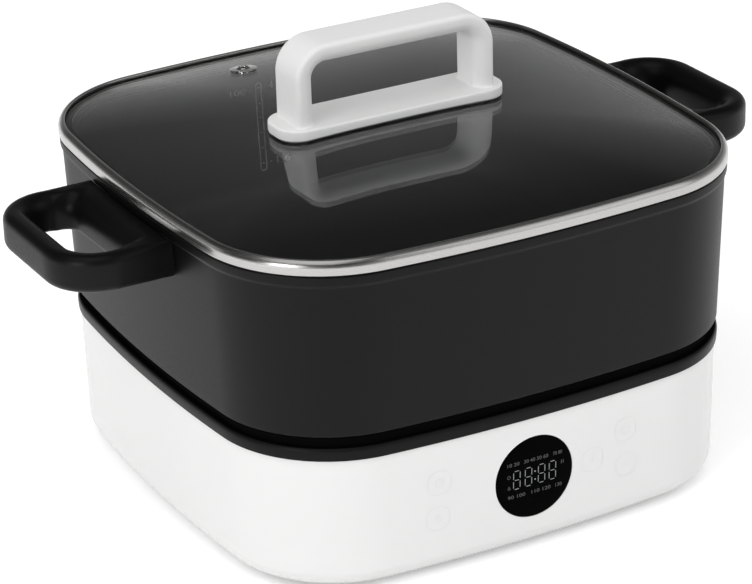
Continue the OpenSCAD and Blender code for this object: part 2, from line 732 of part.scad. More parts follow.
module mains_leads() color([0.5, 0.3, 0.15]) {
    lead([[-pin_gap, pin_back_y, inlet_z - 2], [-pin_gap, pin_back_y - 3, inlet_z - 2],
        [block_x - 6, block_y + 7, inlet_z - 2], [block_x, block_y + 5, block_z],
        [block_x, block_y - 4, block_z]]);
    lead([[pin_gap, pin_back_y, inlet_z - 2], [pin_gap, pin_back_y - 3, inlet_z - 2],
        [block_x + block_pitch, block_y + 6, inlet_z - 4], [block_x + block_pitch, block_y + 4, block_z],
        [block_x + block_pitch, block_y - 4, block_z]]);
}

earth_x = -60;
// the earth lead's first bend from the pin and its last one under the pan
earth_turn_x = -20;
earth_turn_y = 11;
earth_turn_z = 40;
earth_bend_y = 12;
earth_bend_z = 46;
earth_end_y = 17;
earth_end_drop = 6;
module earth_lead() color([0.4, 0.6, 0.2])
    lead([[0, pin_back_y, inlet_z + 2], [0, pin_back_y - 5, inlet_z + 2],
        [earth_turn_x, pin_back_y - earth_turn_y, earth_turn_z], [earth_x, power_y - 2, earth_bend_z],
        [earth_x, power_y - earth_bend_y, shield_z - earth_end_drop],
        [earth_x, power_y - earth_end_y, shield_z - lead_r]]);

module heater_leads() color([0.8, 0.8, 0.75]) {
    ex = element_r * sin(element_gap_a / 2);
    ey = -element_r * cos(element_gap_a / 2);
    right_x = block_x + 4 * block_pitch;
    left_x = block_x + 3 * block_pitch;
    lead([[ex, ey, shield_z - 13], [ex, ey, shield_z - 18], [ex + 8, ey + 20, 28],
        [foot_x, power_y - 52, 26], [foot_x + 2, power_y + 8, 26], [right_x + 12, block_y + 12, 27],
        [right_x, block_y + 7, block_z], [right_x, block_y - 4, block_z]]);
    lead([[-ex, ey, shield_z - 13], [-ex, ey, shield_z - 18], [-ex - 8, ey + 20, 28],
        [-30, power_y - 52, 26], [-38, power_y + 8, 22], [-24, block_y + 13, block_z - 1.5],
        [left_x + 2, block_y + 14, block_z - 1.5], [left_x, block_y + 6, block_z],
        [left_x, block_y - 4, block_z]]);
}

// ---------- pot ----------

pot_side_z = pot_z + 3.4;
brim_low = brim_z - brim_h;
// half width of the pot's outer wall at height z
function pot_w(z) = pot_foot_half
    + (pot_top_half - pot_foot_half) * (z - pot_side_z) / (brim_low - pot_side_z);
floor_z = pot_z + pot_floor_t;
inner_foot_half = pot_foot_half - pot_wall;
inner_top_half = pot_top_half - pot_wall;
// half width of the step under the pot, inside the ring's lip
step_half = pot_foot_half - 6.9;
lug_half_l = 14;
lug_t = 7;
lug_reach = 11;
handle_low = brim_z - handle_drop;
lug_z = handle_low + handle_t / 2 - lug_t / 2;
handle_screw_y = 8;
handle_screw_x = pot_w(lug_z) + 6.4;
handle_screw_r = 2;

module at_handle_screws(side) {
    for (y = [-handle_screw_y, handle_screw_y]) translate([side * handle_screw_x, y, 0])
        children();
}

module pot_body() color([0.12, 0.12, 0.12]) difference() {
    union() {
        stack(section_rings(concat(
            [[step_half - 3.2, pot_z], [step_half - 0.8, pot_z + 0.7], [step_half, pot_z + 2.4],
                [pot_foot_half - 1.2, pot_z + 2.5], [pot_foot_half, pot_side_z],
                [pot_w(brim_low), brim_low], [pot_w(brim_low) + 1, brim_low + 1],
                [pot_top_half + 1.1, brim_z - 0.8], [pot_top_half + 0.5, brim_z],
                [inner_top_half + 0.6, brim_z], [inner_top_half, brim_z - 0.6]],
            section_arc(inner_foot_half - pot_floor_r, floor_z + pot_floor_r, pot_floor_r, 0, -90, 6))));
        for (side = [-1, 1]) translate([side * (pot_w(lug_z) - 1.5 + lug_reach / 2), 0, lug_z + lug_t / 2])
            cube([lug_reach, 2 * lug_half_l, lug_t], center = true);
    }
    for (side = [-1, 1]) at_handle_screws(side) translate([0, 0, lug_z - 1])
        cylinder(h = lug_t + 2, r = handle_screw_r - 0.4);
}

// ---------- side handles ----------

handle_arc_n = 6;
pad_x = pot_w(handle_low) + pad_w;
gap_mid_x = (pad_x + handle_reach - grip_w) / 2;
gap_half_w = (handle_reach - grip_w - pad_x) / 2;
section_n = 4;
wall_gap = 0.15;

// stations round the loop: the edge of the finger gap and the outer edge
gap_edge = [for (p = round_rect(gap_half_w, grip_gap_half_l, [11, 8, 8, 11], handle_arc_n))
    p + [gap_mid_x, 0]];
outer_mid_x = (pad_x - pad_w + handle_reach) / 2;
outer_edge = [for (p = round_rect(handle_reach - outer_mid_x, handle_half_l,
    [handle_corner_r, 1, 1, handle_corner_r], handle_arc_n)) p + [outer_mid_x, 0]];
// three more stations along the side that lies on the pot
function with_side(edge) = let (last = 2 * handle_arc_n + 1) concat([for (i = [0:last]) edge[i]],
    [for (f = [0.25, 0.5, 0.75]) edge[last] + f * (edge[last + 1] - edge[last])],
    [for (i = [last + 1:len(edge) - 1]) edge[i]]);
handle_inner = with_side(gap_edge);
handle_outer = with_side(outer_edge);

// a section from a to b (in plan) with round edges: ra above and ra_low below at the a side,
// rb at the b side
function bar_section(a, b, z0, z1, ra, ra_low, rb, n) =
    let (l = norm(b - a), d = (b - a) / l, h = (z1 - z0) / 2, m = (z0 + z1) / 2)
    [for (p = round_rect(l / 2, h, [rb, ra, ra_low, rb], n))
        let (q = a + d * (p[0] + l / 2)) [q[0], q[1], m + p[1]]];

// a point near the pot is moved on to the pot's wall, or on to its brim
function on_wall(p) = let (w = pot_w(min(p[2], brim_low)) + max(0, min(p[2] - brim_low, 2)),
    x = side_x(w, p[1]) + wall_gap) [max(p[0], x), p[1], p[2]];

module handle_loop() {
    n = len(handle_inner);
    hoop([for (i = [n - 1:-1:0]) let (at_pot = handle_outer[i][0] < outer_mid_x,
            wide = norm(handle_outer[i] - handle_inner[i]),
            s = bar_section(handle_inner[i], handle_outer[i] + (at_pot ? [-2, 0] : [0, 0]),
            handle_low, handle_low + handle_t, min(grip_inner_r, 0.54 * wide), min(3, 0.3 * wide),
            at_pot ? 1 : min(handle_edge_r, 0.42 * wide), section_n))
        [for (p = s) at_pot ? on_wall(p) : p]]);
}

module side_handle() {
    screw_x = handle_screw_x;
    difference() {
        handle_loop();
        translate([pot_w(lug_z) - 4, -lug_half_l - 0.2, lug_z - 0.2])
            cube([lug_reach + 2.8, 2 * lug_half_l + 0.4, lug_t + 0.4]);
        for (y = [-handle_screw_y, handle_screw_y]) translate([screw_x, y, handle_low - 1]) {
            cylinder(h = handle_t / 2, r = handle_screw_r + 0.2);
            cylinder(h = 3.2, r = 4);
        }
    }
}
module handle_right() color(black) side_handle();
module handle_left() color(black) mirror([1, 0, 0]) side_handle();

module handle_screws() color(steel) for (side = [-1, 1]) at_handle_screws(side)
    translate([0, 0, handle_low + 2.2])
        screw_up(handle_screw_r - 0.4, lug_z + lug_t - handle_low - 3.2, 3.5, 1.8);

// ---------- lid: glass, steel rim and seal ----------

glass_half = rim_half - 2.1;
// height of the glass's upper face where the outline is scaled by s
function dome_z(s) = glass_edge_z + dome_rise * (1 - pow(s, dome_power));
function scaled_outline(s, drop) = [for (p = outline(glass_half)) [s * p[0], s * p[1], dome_z(s) - drop]];
dome_steps = [0.12, 0.3, 0.45, 0.58, 0.7, 0.8, 0.88, 0.94, 1];

vent_s = vent_y / glass_half;
module vent_place() {
    slope = atan(dome_rise * dome_power * pow(vent_s, dome_power - 1) / glass_half);
    translate([-vent_x, vent_y, dome_z(vent_s)]) rotate([-slope, 0, 0]) children();
}

lid_screw_x = bridge_half_l - bridge_t / 2;
lid_screw_r = 2.5;

module lid_glass() color([0.35, 0.37, 0.38, 0.5]) difference() {
    stack(concat([for (i = [0:8]) scaled_outline(dome_steps[i], glass_t)],
        [for (i = [8:-1:0]) scaled_outline(dome_steps[i], 0)]));
    vent_place() translate([0, 0, -glass_t - 4]) cylinder(h = glass_t + 8, r = vent_tube_r + 0.3);
    for (x = [-lid_screw_x, lid_screw_x]) translate([x, 0, glass_mid_z - glass_t - 4])
        cylinder(h = glass_t + 8, r = lid_screw_r + 0.6);
}

rim_sheet = 0.9;
rim_in = rim_half - rim_lip_w;
rim_skirt_half = inner_top_half - 2.4;
rim_skirt_h = 4.5;
module lid_rim() color(steel) hoop(section_rings([[rim_half - 0.4, rim_z],
    [rim_half + 0.1, rim_z + 0.6], [rim_half + 0.1, rim_top - 3.4], [rim_half - 0.1, rim_top - 2.5],
    [rim_half - 0.6, rim_top - 1.5], [rim_half - 1.4, rim_top - 0.6], [rim_half - 2.3, rim_top - 0.1],
    [rim_half - 2.9, rim_top], [rim_in, rim_top - 0.1], [rim_in, rim_top - rim_sheet],
    [rim_half - 2.5, rim_top - rim_sheet], [rim_half - 1.9, rim_top - 1.3],
    [rim_half - 1.3, rim_top - 1.95], [rim_half - 0.95, rim_top - 2.8],
    [rim_half - 0.8, rim_top - 3.4], [rim_half - 0.8, rim_z + rim_sheet],
    [rim_skirt_half - rim_sheet, rim_z + rim_sheet], [rim_skirt_half - rim_sheet, rim_z - rim_skirt_h],
    [rim_skirt_half, rim_z - rim_skirt_h], [rim_skirt_half, rim_z]]));

glass_edge = outline(glass_half);
// the outline at half width w, just under the glass
function under_glass(w) = let (line = outline(w)) [for (j = [0:ring_n - 1])
    [line[j][0], line[j][1], dome_z(norm(line[j]) / norm(glass_edge[j])) - glass_t - 0.1]];
module rim_seal() color([0.2, 0.2, 0.2]) {
    w0 = rim_skirt_half - 0.4;
    w1 = glass_half - 0.3;
    low = rim_z + rim_sheet + 0.02;
    hoop([at_height(outline(w0), low), at_height(outline(w1), low), under_glass(w1),
        under_glass(w0)]);
}

module vent_eyelet() color(steel) vent_place() rotate_extrude($fn = 48)
    polygon([[vent_tube_r - 1, 1.9], [vent_tube_r - 0.7, 2.2], [vent_tube_r, 2.1],
        [vent_tube_r + 0.3, 1.1], [vent_flange_r - 0.6, 0.7], [vent_flange_r, 0.2],
        [vent_tube_r, 0.15], [vent_tube_r, -glass_t - 0.2], [vent_tube_r + 2, -glass_t - 0.2],
        [vent_tube_r + 2, -glass_t - 0.9], [vent_tube_r - 1, -glass_t - 0.9]]);

// ---------- bridge handle ----------

bridge_top = bridge_z + bridge_plate_t + bridge_h;
bridge_arc_n = 7;

// the loop is laid out flat, with its height along Y, and then stood up
module bridge_loop() {
    low = bridge_z + 1.5;
    in_low = bridge_z + bridge_plate_t - 1;
    in_half = bridge_half_l - bridge_t;
    in_top = bridge_top - bridge_t;
    out_h = (bridge_top - low) / 2;
    in_h = (in_top - in_low) / 2;
    in_r = bridge_corner_r - bridge_t + 1;
    inner = [for (p = round_rect(in_half, in_h, [in_r, in_r, 0.5, 0.5], bridge_arc_n))
        p + [0, (in_low + in_top) / 2]];
    outer = [for (p = round_rect(bridge_half_l, out_h, [bridge_corner_r, bridge_corner_r, 1, 1],
        bridge_arc_n)) p + [0, (low + bridge_top) / 2]];
    n = len(inner);
    rotate([90, 0, 0]) hoop([for (i = [n - 1:-1:0]) let (thick = norm(outer[i] - inner[i]),
            r = min(bridge_inner_r, 0.68 * thick))
        bar_section(inner[i], outer[i], -bridge_d / 2, bridge_d / 2, r, r,
            min(bridge_edge_r, 0.2 * thick), section_n)]);
}

module bridge_plate() {
    hx = bridge_plate_half_l;
    hy = bridge_plate_half_d;
    function plate_ring(inset, z) = at_height(round_rect(hx - inset, hy - inset,
        [12, 12, 12, 12] - inset * [1, 1, 1, 1], 6), z);
    top = bridge_z + bridge_plate_t;
    stack([plate_ring(0.4, bridge_z), plate_ring(0, bridge_z + 0.5), plate_ring(0, top - 2),
        plate_ring(0.5, top - 0.7), plate_ring(2, top)]);
}

module lid_handle() color(white) difference() {
    union() {
        bridge_loop();
        bridge_plate();
    }
    for (x = [-lid_screw_x, lid_screw_x]) translate([x, 0, bridge_z - 1])
        cylinder(h = 15, r = lid_screw_r - 0.4);
}

// the gasket is flat above and follows the glass below
gasket_edge = round_rect(bridge_plate_half_l - 1.2, bridge_plate_half_d - 1.2, [11, 11, 11, 11], 6);
module handle_gasket() color(black) difference() {
    translate([0, 0, bridge_z - 5]) linear_extrude(4.98) polygon(gasket_edge);
    translate([0, 0, 0.03]) stack(concat([scaled_outline(dome_steps[3], 2 * glass_t)],
        [for (i = [3:-1:0]) scaled_outline(dome_steps[i], 0)]));
    for (x = [-lid_screw_x, lid_screw_x]) translate([x, 0, bridge_z - 6])
        cylinder(h = 12, r = lid_screw_r + 0.2);
}

washer_t = 1.5;
washer_top = dome_z(lid_screw_x / glass_half) - glass_t - 0.65;
module lid_washers() color(black) for (x = [-lid_screw_x, lid_screw_x])
    translate([x, 0, washer_top - washer_t]) difference() {
        cylinder(h = washer_t, r = 8);
        translate([0, 0, -1]) cylinder(h = washer_t + 2, r = lid_screw_r + 0.3);
    }

module lid_screws() color(steel) for (x = [-lid_screw_x, lid_screw_x])
    translate([x, 0, washer_top - washer_t])
        screw_up(lid_screw_r - 0.4, bridge_z + 12 - washer_top + washer_t, 5, 2.4);

// ---------- every node ----------

base_shell();
seat_ring();
bottom_cover();
feet();
cover_screws();
heating_plate();
heating_element();
heat_shield();
plate_screws();
shield_screws();
sensor_guide();
sensor_cap();
thermistor();
sensor_spring();
thermal_fuse();
fuse_clip();
clip_screws();
power_board();
relay();
filter_capacitor();
transformer();
line_fuse();
terminal_block();
board_screws();
control_board();
display_module();
touch_pads();
buzzer();
control_screws();
display_lens();
display_ribbon();
inlet_socket();
inlet_pins();
inlet_screws();
mains_leads();
earth_lead();
heater_leads();
pot_body();
handle_left();
handle_right();
handle_screws();
lid_glass();
lid_rim();
rim_seal();
vent_eyelet();
lid_handle();
handle_gasket();
lid_screws();
lid_washers();
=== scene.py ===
# Electric hot pot: heated base, cast pot and glass lid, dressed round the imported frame.
# Sizes of the object are in millimetres, and each mesh is turned into metres as it is made.
import math

import bmesh
import bpy
import numpy as np
from mathutils import Matrix, Vector


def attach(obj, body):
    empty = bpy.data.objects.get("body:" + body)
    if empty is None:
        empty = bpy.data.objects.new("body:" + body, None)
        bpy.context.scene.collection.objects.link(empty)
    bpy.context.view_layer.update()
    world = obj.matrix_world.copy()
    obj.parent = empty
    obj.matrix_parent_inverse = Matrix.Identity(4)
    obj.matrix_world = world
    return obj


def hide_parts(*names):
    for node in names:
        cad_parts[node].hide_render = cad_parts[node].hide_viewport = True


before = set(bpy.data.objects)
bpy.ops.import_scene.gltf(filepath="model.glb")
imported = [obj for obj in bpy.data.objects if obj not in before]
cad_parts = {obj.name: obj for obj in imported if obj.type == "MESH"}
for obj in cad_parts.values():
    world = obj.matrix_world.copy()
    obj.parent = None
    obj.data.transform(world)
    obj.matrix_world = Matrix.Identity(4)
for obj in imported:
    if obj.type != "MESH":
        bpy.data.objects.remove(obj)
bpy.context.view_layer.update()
scene = bpy.context.scene
scene.view_settings.view_transform = "Standard"
milli = 0.001  # metres in a millimetre
mergeReach = 2e-6  # metres, points nearer than this become one
print("frame loaded,", len(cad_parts), "nodes")


# camera, fitted to the picture of 752 x 584: angles in degrees, clip distances in metres
cameraSetup = {"azimuth": -28.439, "elevation": 24.288, "roll": -1.668, "distance": 1540.12,
               "target": (-13.60, -8.96, 89.88), "lens": 149.48, "sensor": 36, "clip": (0.05, 50)}


# The camera stands at a distance from its target, in the direction that azimuth and elevation
# give, and is rolled about its own line of sight.
def makeCamera(setup):
    az, el, roll = (math.radians(setup[k]) for k in ("azimuth", "elevation", "roll"))
    away = Vector((math.sin(az) * math.cos(el), -math.cos(az) * math.cos(el), math.sin(el)))
    level = Vector((math.cos(az), math.sin(az), 0))
    right = math.cos(roll) * level + math.sin(roll) * away.cross(level)
    place = Vector(setup["target"]) + setup["distance"] * away
    turn = Matrix((right, away.cross(right), away)).transposed().to_4x4()
    data = bpy.data.cameras.new("camera")
    data.lens, data.sensor_width, data.sensor_fit = setup["lens"], setup["sensor"], "HORIZONTAL"
    data.clip_start, data.clip_end = setup["clip"]
    obj = bpy.data.objects.new("camera", data)
    obj.matrix_world = Matrix.Translation(place * milli) @ turn
    scene.collection.objects.link(obj)
    scene.camera = obj


makeCamera(cameraSetup)
print("camera placed")

# the square with bowed sides that shell, pot and lid share, seen from above
bodyShape = {"rimHalf": 140, "bowRadius": 887, "cornerRadius": 65, "sideSteps": 9, "cornerSteps": 26}


# Outlines are points with outward normals. One side of the bowed square is an arc of the bow
# radius about a point on its axis, one corner an arc of the corner radius, and the four quarters
# are turned copies.
def bowedOutline(shape):
    bow, corner, half = shape["bowRadius"], shape["cornerRadius"], shape["rimHalf"]
    sideC = half - bow
    cornerC = (sideC + math.sqrt(2 * (bow - corner) ** 2 - sideC ** 2)) / 2
    join = math.atan2(cornerC, cornerC - sideC)
    sideA = np.linspace(-join, join, 2 * shape["sideSteps"] + 1)[:-1]
    cornerA = np.linspace(join, math.pi / 2 - join, shape["cornerSteps"] + 1)[:-1]
    angle = np.concatenate([sideA, cornerA])
    onSide = np.arange(len(angle)) < len(sideA)
    normal = np.stack([np.cos(angle), np.sin(angle)], axis=1)
    centre = np.stack([np.where(onSide, sideC, cornerC), np.where(onSide, 0, cornerC)], axis=1)
    point = centre + np.where(onSide, bow, corner)[:, None] * normal
    quarter = np.arange(4)[:, None] * math.pi / 2
    c, s = np.cos(quarter), np.sin(quarter)

    def turned(v):
        x, y = v[None, :, 0], v[None, :, 1]
        return np.stack([c * x - s * y, s * x + c * y], axis=2).reshape(-1, 2)
    return turned(point), turned(normal)


# Signs of the two axes in the quadrants 0 to 3.
def quadrantSigns(quadrant):
    return np.where((quadrant == 0) | (quadrant == 3), 1, -1), np.where(quadrant < 2, 1, -1)


# Rectangle with round corners, all alike or each with its own radius: four quarter arcs, each
# followed by a straight run of points.
def roundRectOutline(halfX, halfY, radius, arcSteps=10, sideSteps=6):
    quadrant = np.arange(4)
    signX, signY = quadrantSigns(quadrant)
    r = np.broadcast_to(radius, 4).astype(float)
    centre = np.stack([(halfX - r) * signX, (halfY - r) * signY], axis=1)
    a = quadrant[:, None] * math.pi / 2 + np.linspace(0, math.pi / 2, arcSteps)[None, :]
    arcN = np.stack([np.cos(a), np.sin(a)], axis=2)
    arcP = centre[:, None] + r[:, None, None] * arcN
    f = (np.arange(1, sideSteps) / sideSteps)[None, :, None]
    runP = arcP[:, -1:] * (1 - f) + np.roll(arcP, -1, axis=0)[:, :1] * f
    runN = np.repeat(arcN[:, -1:], sideSteps - 1, axis=1)
    return (np.concatenate([arcP, runP], axis=1).reshape(-1, 2),
            np.concatenate([arcN, runN], axis=1).reshape(-1, 2))


# Circle, with its radius times the cosine and sine of evenly spaced angles.
def circleOutline(radius, steps=96):
    a = np.arange(steps) * 2 * math.pi / steps
    n = np.stack([np.cos(a), np.sin(a)], axis=1)
    return radius * n, n


# A grid of points as a part, which is its points and four-cornered faces. Each row is a ring, and
# the last row may join the first.
def gridPart(grid, wrapRows=False):
    rows, cols = grid.shape[:2]
    r = np.arange(rows if wrapRows else rows - 1)[:, None]
    c = np.arange(cols)[None, :]
    r2, c2 = (r + 1) % rows, (c + 1) % cols
    faces = np.stack([r * cols + c, r * cols + c2, r2 * cols + c2, r2 * cols + c], axis=-1)
    return grid.reshape(-1, 3), faces.reshape(-1, 4)


# Each corner of a closed polyline gives way to a quadratic curve that starts the given distance
# before the corner and ends as far after it, on the two edges that meet there.
def softCorners(corners, radii, steps=5):
    p = np.asarray(corners, float)
    back, ahead = np.roll(p, 1, axis=0) - p, np.roll(p, -1, axis=0) - p
    backL, aheadL = (np.maximum(np.linalg.norm(v, axis=1), 1e-9)[:, None] for v in (back, ahead))
    most = 0.49 * np.minimum(backL, aheadL)  # neighbours on a short edge stay apart
    reach = np.minimum(np.broadcast_to(radii, len(p))[:, None], most)
    a, b = p + back / backL * reach, p + ahead / aheadL * reach
    t = np.linspace(0, 1, steps)[None, :, None]
    curve = (1 - t) ** 2 * a[:, None] + 2 * t * (1 - t) * p[:, None] + t ** 2 * b[:, None]
    return curve.reshape(-1, p.shape[1])


# A profile carried along an outline: row i is the outline moved inwards by inset i, scaled about
# the middle by scale i and lifted to height z i.
def carry(outline, inset, z, scale=1.0):
    point, normal = outline
    inset, z = np.atleast_1d(inset).astype(float), np.atleast_1d(z).astype(float)
    scale = np.broadcast_to(scale, len(z)).astype(float)
    xy = scale[:, None, None] * (point[None] - inset[:, None, None] * normal[None])
    return np.concatenate([xy, np.broadcast_to(z[:, None, None], xy.shape[:2] + (1,))], axis=2)


# Ring whose section is a closed row of (half width, height) points.
def closedHoop(outline, half, profile):
    return gridPart(carry(outline, half - profile[:, 0], profile[:, 1]), wrapRows=True)


# Solid of stacked rings, (half width, height, scale) a row, whose ends shrink to a point.
def cappedStack(outline, half, rows):
    return gridPart(carry(outline, half - rows[:, 0], rows[:, 1], rows[:, 2]))


# Several parts as one.
def joined(*parts):
    start = np.cumsum([0] + [len(points) for points, faces in parts])
    return (np.concatenate([points for points, faces in parts]),
            np.concatenate([faces + s for (points, faces), s in zip(parts, start)]))


# A part as a mirror at x = 0 shows it, with its faces kept outwards.
def mirroredX(part):
    points, faces = part
    return points * np.array([-1, 1, 1]), faces[:, ::-1]


# Upright round bar between two heights.
def rod(radius, low, high, place=(0, 0), steps=48):
    rows = np.array([[radius, low, 0], [radius, low, 1], [radius, high, 1], [radius, high, 0]])
    points, faces = cappedStack(circleOutline(radius, steps), radius, rows)
    return points + np.array([place[0], place[1], 0]), faces


# Box between two corners.
def block(low, high):
    c = np.array([[x, y, z] for x in (0, 1) for y in (0, 1) for z in (0, 1)], float)
    points = np.array(low) + c * (np.array(high) - np.array(low))
    faces = [[0, 1, 3, 2], [4, 6, 7, 5], [0, 4, 5, 1], [2, 3, 7, 6], [0, 2, 6, 4], [1, 5, 7, 3]]
    return points, np.array(faces)


# A part made along Z, turned so that its Z faces the front, and moved.
def frontward(part, place):
    points, faces = part
    return np.stack([points[:, 0], -points[:, 2], points[:, 1]], axis=1) + np.array(place), faces


square = bowedOutline(bodyShape)
squareHalf = bodyShape["rimHalf"]


# Distance from the middle to a side of the bowed square of a half width. A step across from the
# side's own middle comes off it as on any circle of the side's radius.
def sideReach(half, across):
    bow = bodyShape["bowRadius"]
    return squareHalf - bow + np.sqrt((bow - squareHalf + half) ** 2 - np.square(across))


# Object made of points in millimetres and lists of faces.
def newObject(name, points, faces):
    mesh = bpy.data.meshes.new(name)
    mesh.from_pydata((points * milli).tolist(), [], faces)
    obj = bpy.data.objects.new(name, mesh)
    scene.collection.objects.link(obj)
    return obj


# Smooth shading, broken where two faces meet at more than an angle.
def shadeMesh(mesh, smoothAngle):
    mesh.shade_smooth()
    mesh.set_sharp_from_angle(angle=math.radians(smoothAngle))


# Doubles merged, and all faces turned round if the volume shows that they point inwards.
def tidyMesh(mesh):
    bm = bmesh.new()
    bm.from_mesh(mesh)
    bmesh.ops.remove_doubles(bm, verts=bm.verts, dist=mergeReach)
    bmesh.ops.dissolve_degenerate(bm, edges=bm.edges, dist=1e-7)
    if bm.calc_volume(signed=True) < 0:
        bmesh.ops.reverse_faces(bm, faces=bm.faces)
    bm.to_mesh(mesh)
    bm.free()


# Material, body and slot of a finished piece.
def dress(obj, material, body):
    obj.data.materials.append(material)
    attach(obj, body)


# A part as a piece that stands for a node of the frame.
def putMesh(name, part, material, body, node, smoothAngle=40):
    points, faces = part
    obj = newObject(name, points, faces.tolist())
    tidyMesh(obj.data)
    shadeMesh(obj.data, smoothAngle)
    dress(obj, material, body)
    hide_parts(node)
    return obj


# The parts taken out of a finished piece, with the result kept as its mesh.
def cutAway(obj, parts, smoothAngle=40):
    points, faces = joined(*parts)
    cutter = newObject("cutter", points, faces.tolist())
    tidyMesh(cutter.data)
    cut = obj.modifiers.new("cut", "BOOLEAN")
    cut.operation, cut.solver, cut.object = "DIFFERENCE", "EXACT", cutter
    result = bpy.data.meshes.new_from_object(obj.evaluated_get(bpy.context.evaluated_depsgraph_get()))
    obj.modifiers.clear()
    spent = [obj.data, cutter.data]
    obj.data = result
    bpy.data.objects.remove(cutter)
    for mesh in spent:
        bpy.data.meshes.remove(mesh)
    result.name = obj.name
    shadeMesh(result, smoothAngle)


def newMaterial(name):
    mat = bpy.data.materials.new(name)
    mat.use_nodes = True
    nodes, links = mat.node_tree.nodes, mat.node_tree.links
    coord = nodes.new("ShaderNodeTexCoord").outputs["Object"]
    return mat, nodes, links, nodes["Principled BSDF"], coord


def noise(nodes, links, coord, scale, detail=3.0, stretch=None):
    if stretch:
        mapping = nodes.new("ShaderNodeMapping")
        mapping.inputs["Scale"].default_value = stretch
        links.new(coord, mapping.inputs["Vector"])
        coord = mapping.outputs["Vector"]
    tex = nodes.new("ShaderNodeTexNoise")
    tex.inputs["Scale"].default_value = scale
    tex.inputs["Detail"].default_value = detail
    links.new(coord, tex.inputs["Vector"])
    return tex.outputs["Fac"]


# A Math node, each of whose inputs is a socket or a plain number.
def mathNode(nodes, links, operation, *values):
    node = nodes.new("ShaderNodeMath")
    node.operation = operation
    for socket, value in zip(node.inputs, values):
        if isinstance(value, (int, float)):
            socket.default_value = value
        else:
            links.new(value, socket)
    return node.outputs[0]


# A value between two limits moved to two others.
def spread(nodes, links, value, low, high, fromLow=0.3, fromHigh=0.7):
    node = nodes.new("ShaderNodeMapRange")
    node.inputs["From Min"].default_value, node.inputs["From Max"].default_value = fromLow, fromHigh
    node.inputs["To Min"].default_value, node.inputs["To Max"].default_value = low, high
    links.new(value, node.inputs["Value"])
    return node.outputs["Result"]


def tint(nodes, links, fac, colourA, colourB, base=None):
    node = nodes.new("ShaderNodeMix")
    node.data_type = "RGBA"
    node.inputs["A"].default_value = (*colourA, 1)
    node.inputs["B"].default_value = (*colourB, 1)
    if base:
        links.new(base, node.inputs["A"])
    links.new(fac, node.inputs["Factor"])
    return node.outputs["Result"]


def shaded(colour, share):
    return tuple(min(1.0, c * share) for c in colour)


def bump(nodes, links, shader, height, strength, distance):
    node = nodes.new("ShaderNodeBump")
    node.inputs["Strength"].default_value = strength
    node.inputs["Distance"].default_value = distance
    links.new(height, node.inputs["Height"])
    links.new(node.outputs["Normal"], shader.inputs["Normal"])


def setShader(shader, **values):
    names = {"metal": "Metallic", "rough": "Roughness", "specular": "Specular IOR Level", "ior": "IOR",
             "clear": "Transmission Weight", "glow": "Emission Strength"}
    for key, value in values.items():
        shader.inputs[names[key]].default_value = value


# Moulded or sheet finish: slow cloud in the colour, uneven roughness and a fine grain in relief.
def plainMaterial(name, colour, rough, vary=0.06, grain=900, relief=0.08, cloud=14, colourVary=0.06,
                  metal=0.0, specular=0.5, stretch=None):
    mat, nodes, links, shader, coord = newMaterial(name)
    setShader(shader, metal=metal, specular=specular)
    slow = noise(nodes, links, coord, cloud, detail=2.0)
    fine = noise(nodes, links, coord, grain, detail=4.0, stretch=stretch)
    dark, light = shaded(colour, 1 - colourVary), shaded(colour, 1 + colourVary)
    links.new(tint(nodes, links, slow, dark, light), shader.inputs["Base Color"])
    links.new(spread(nodes, links, fine, rough * (1 - vary), rough * (1 + vary)), shader.inputs["Roughness"])
    bump(nodes, links, shader, fine, relief, distance=0.0002)
    return mat


potFinish = {"colour": (0.0016, 0.0015, 0.0015), "fleck": (0.022, 0.021, 0.021), "rough": (0.37, 0.48),
             "specular": 0.19, "fleckScale": 1050, "patchScale": 520, "grain": 2100, "relief": 0.22}


# Dark cast coating: fine pale flecks in patches, and a grain that gives an uneven satin gloss.
def coatingMaterial(look):
    mat, nodes, links, shader, coord = newMaterial("speckledCoating")
    flecks = nodes.new("ShaderNodeTexVoronoi")
    flecks.inputs["Scale"].default_value = look["fleckScale"]
    links.new(coord, flecks.inputs["Vector"])
    small = spread(nodes, links, flecks.outputs["Distance"], 1, 0, fromLow=0.08, fromHigh=0.22)
    patch = noise(nodes, links, coord, look["patchScale"], detail=2.0)
    patch = spread(nodes, links, patch, 0, 1, fromLow=0.5, fromHigh=0.68)
    both = mathNode(nodes, links, "MULTIPLY", small, patch)
    slow = noise(nodes, links, coord, 9, detail=2.0)
    ground = tint(nodes, links, slow, shaded(look["colour"], 0.9), shaded(look["colour"], 1.12))
    links.new(tint(nodes, links, both, look["colour"], look["fleck"], ground), shader.inputs["Base Color"])
    grain = noise(nodes, links, coord, look["grain"])
    links.new(spread(nodes, links, grain, *look["rough"]), shader.inputs["Roughness"])
    setShader(shader, specular=look["specular"])
    bump(nodes, links, shader, grain, look["relief"], distance=0.0002)
    return mat


# Satin metal: fine lines along one direction in colour, gloss and relief.
def brushedMaterial(name, colour, rough, stretch, scale, relief):
    mat, nodes, links, shader, coord = newMaterial(name)
    lines = noise(nodes, links, coord, scale, stretch=stretch)
    slow = noise(nodes, links, coord, 20, detail=2.0)
    setShader(shader, metal=1.0)
    shade = nodes.new("ShaderNodeMix")
    shade.data_type, shade.blend_type = "RGBA", "MULTIPLY"
    shade.inputs["Factor"].default_value = 0.12
    links.new(tint(nodes, links, lines, shaded(colour, 0.9), colour), shade.inputs["A"])
    links.new(slow, shade.inputs["B"])
    links.new(shade.outputs["Result"], shader.inputs["Base Color"])
    links.new(spread(nodes, links, lines, rough * 0.8, rough * 1.25), shader.inputs["Roughness"])
    bump(nodes, links, shader, lines, relief, distance=0.0001)
    return mat


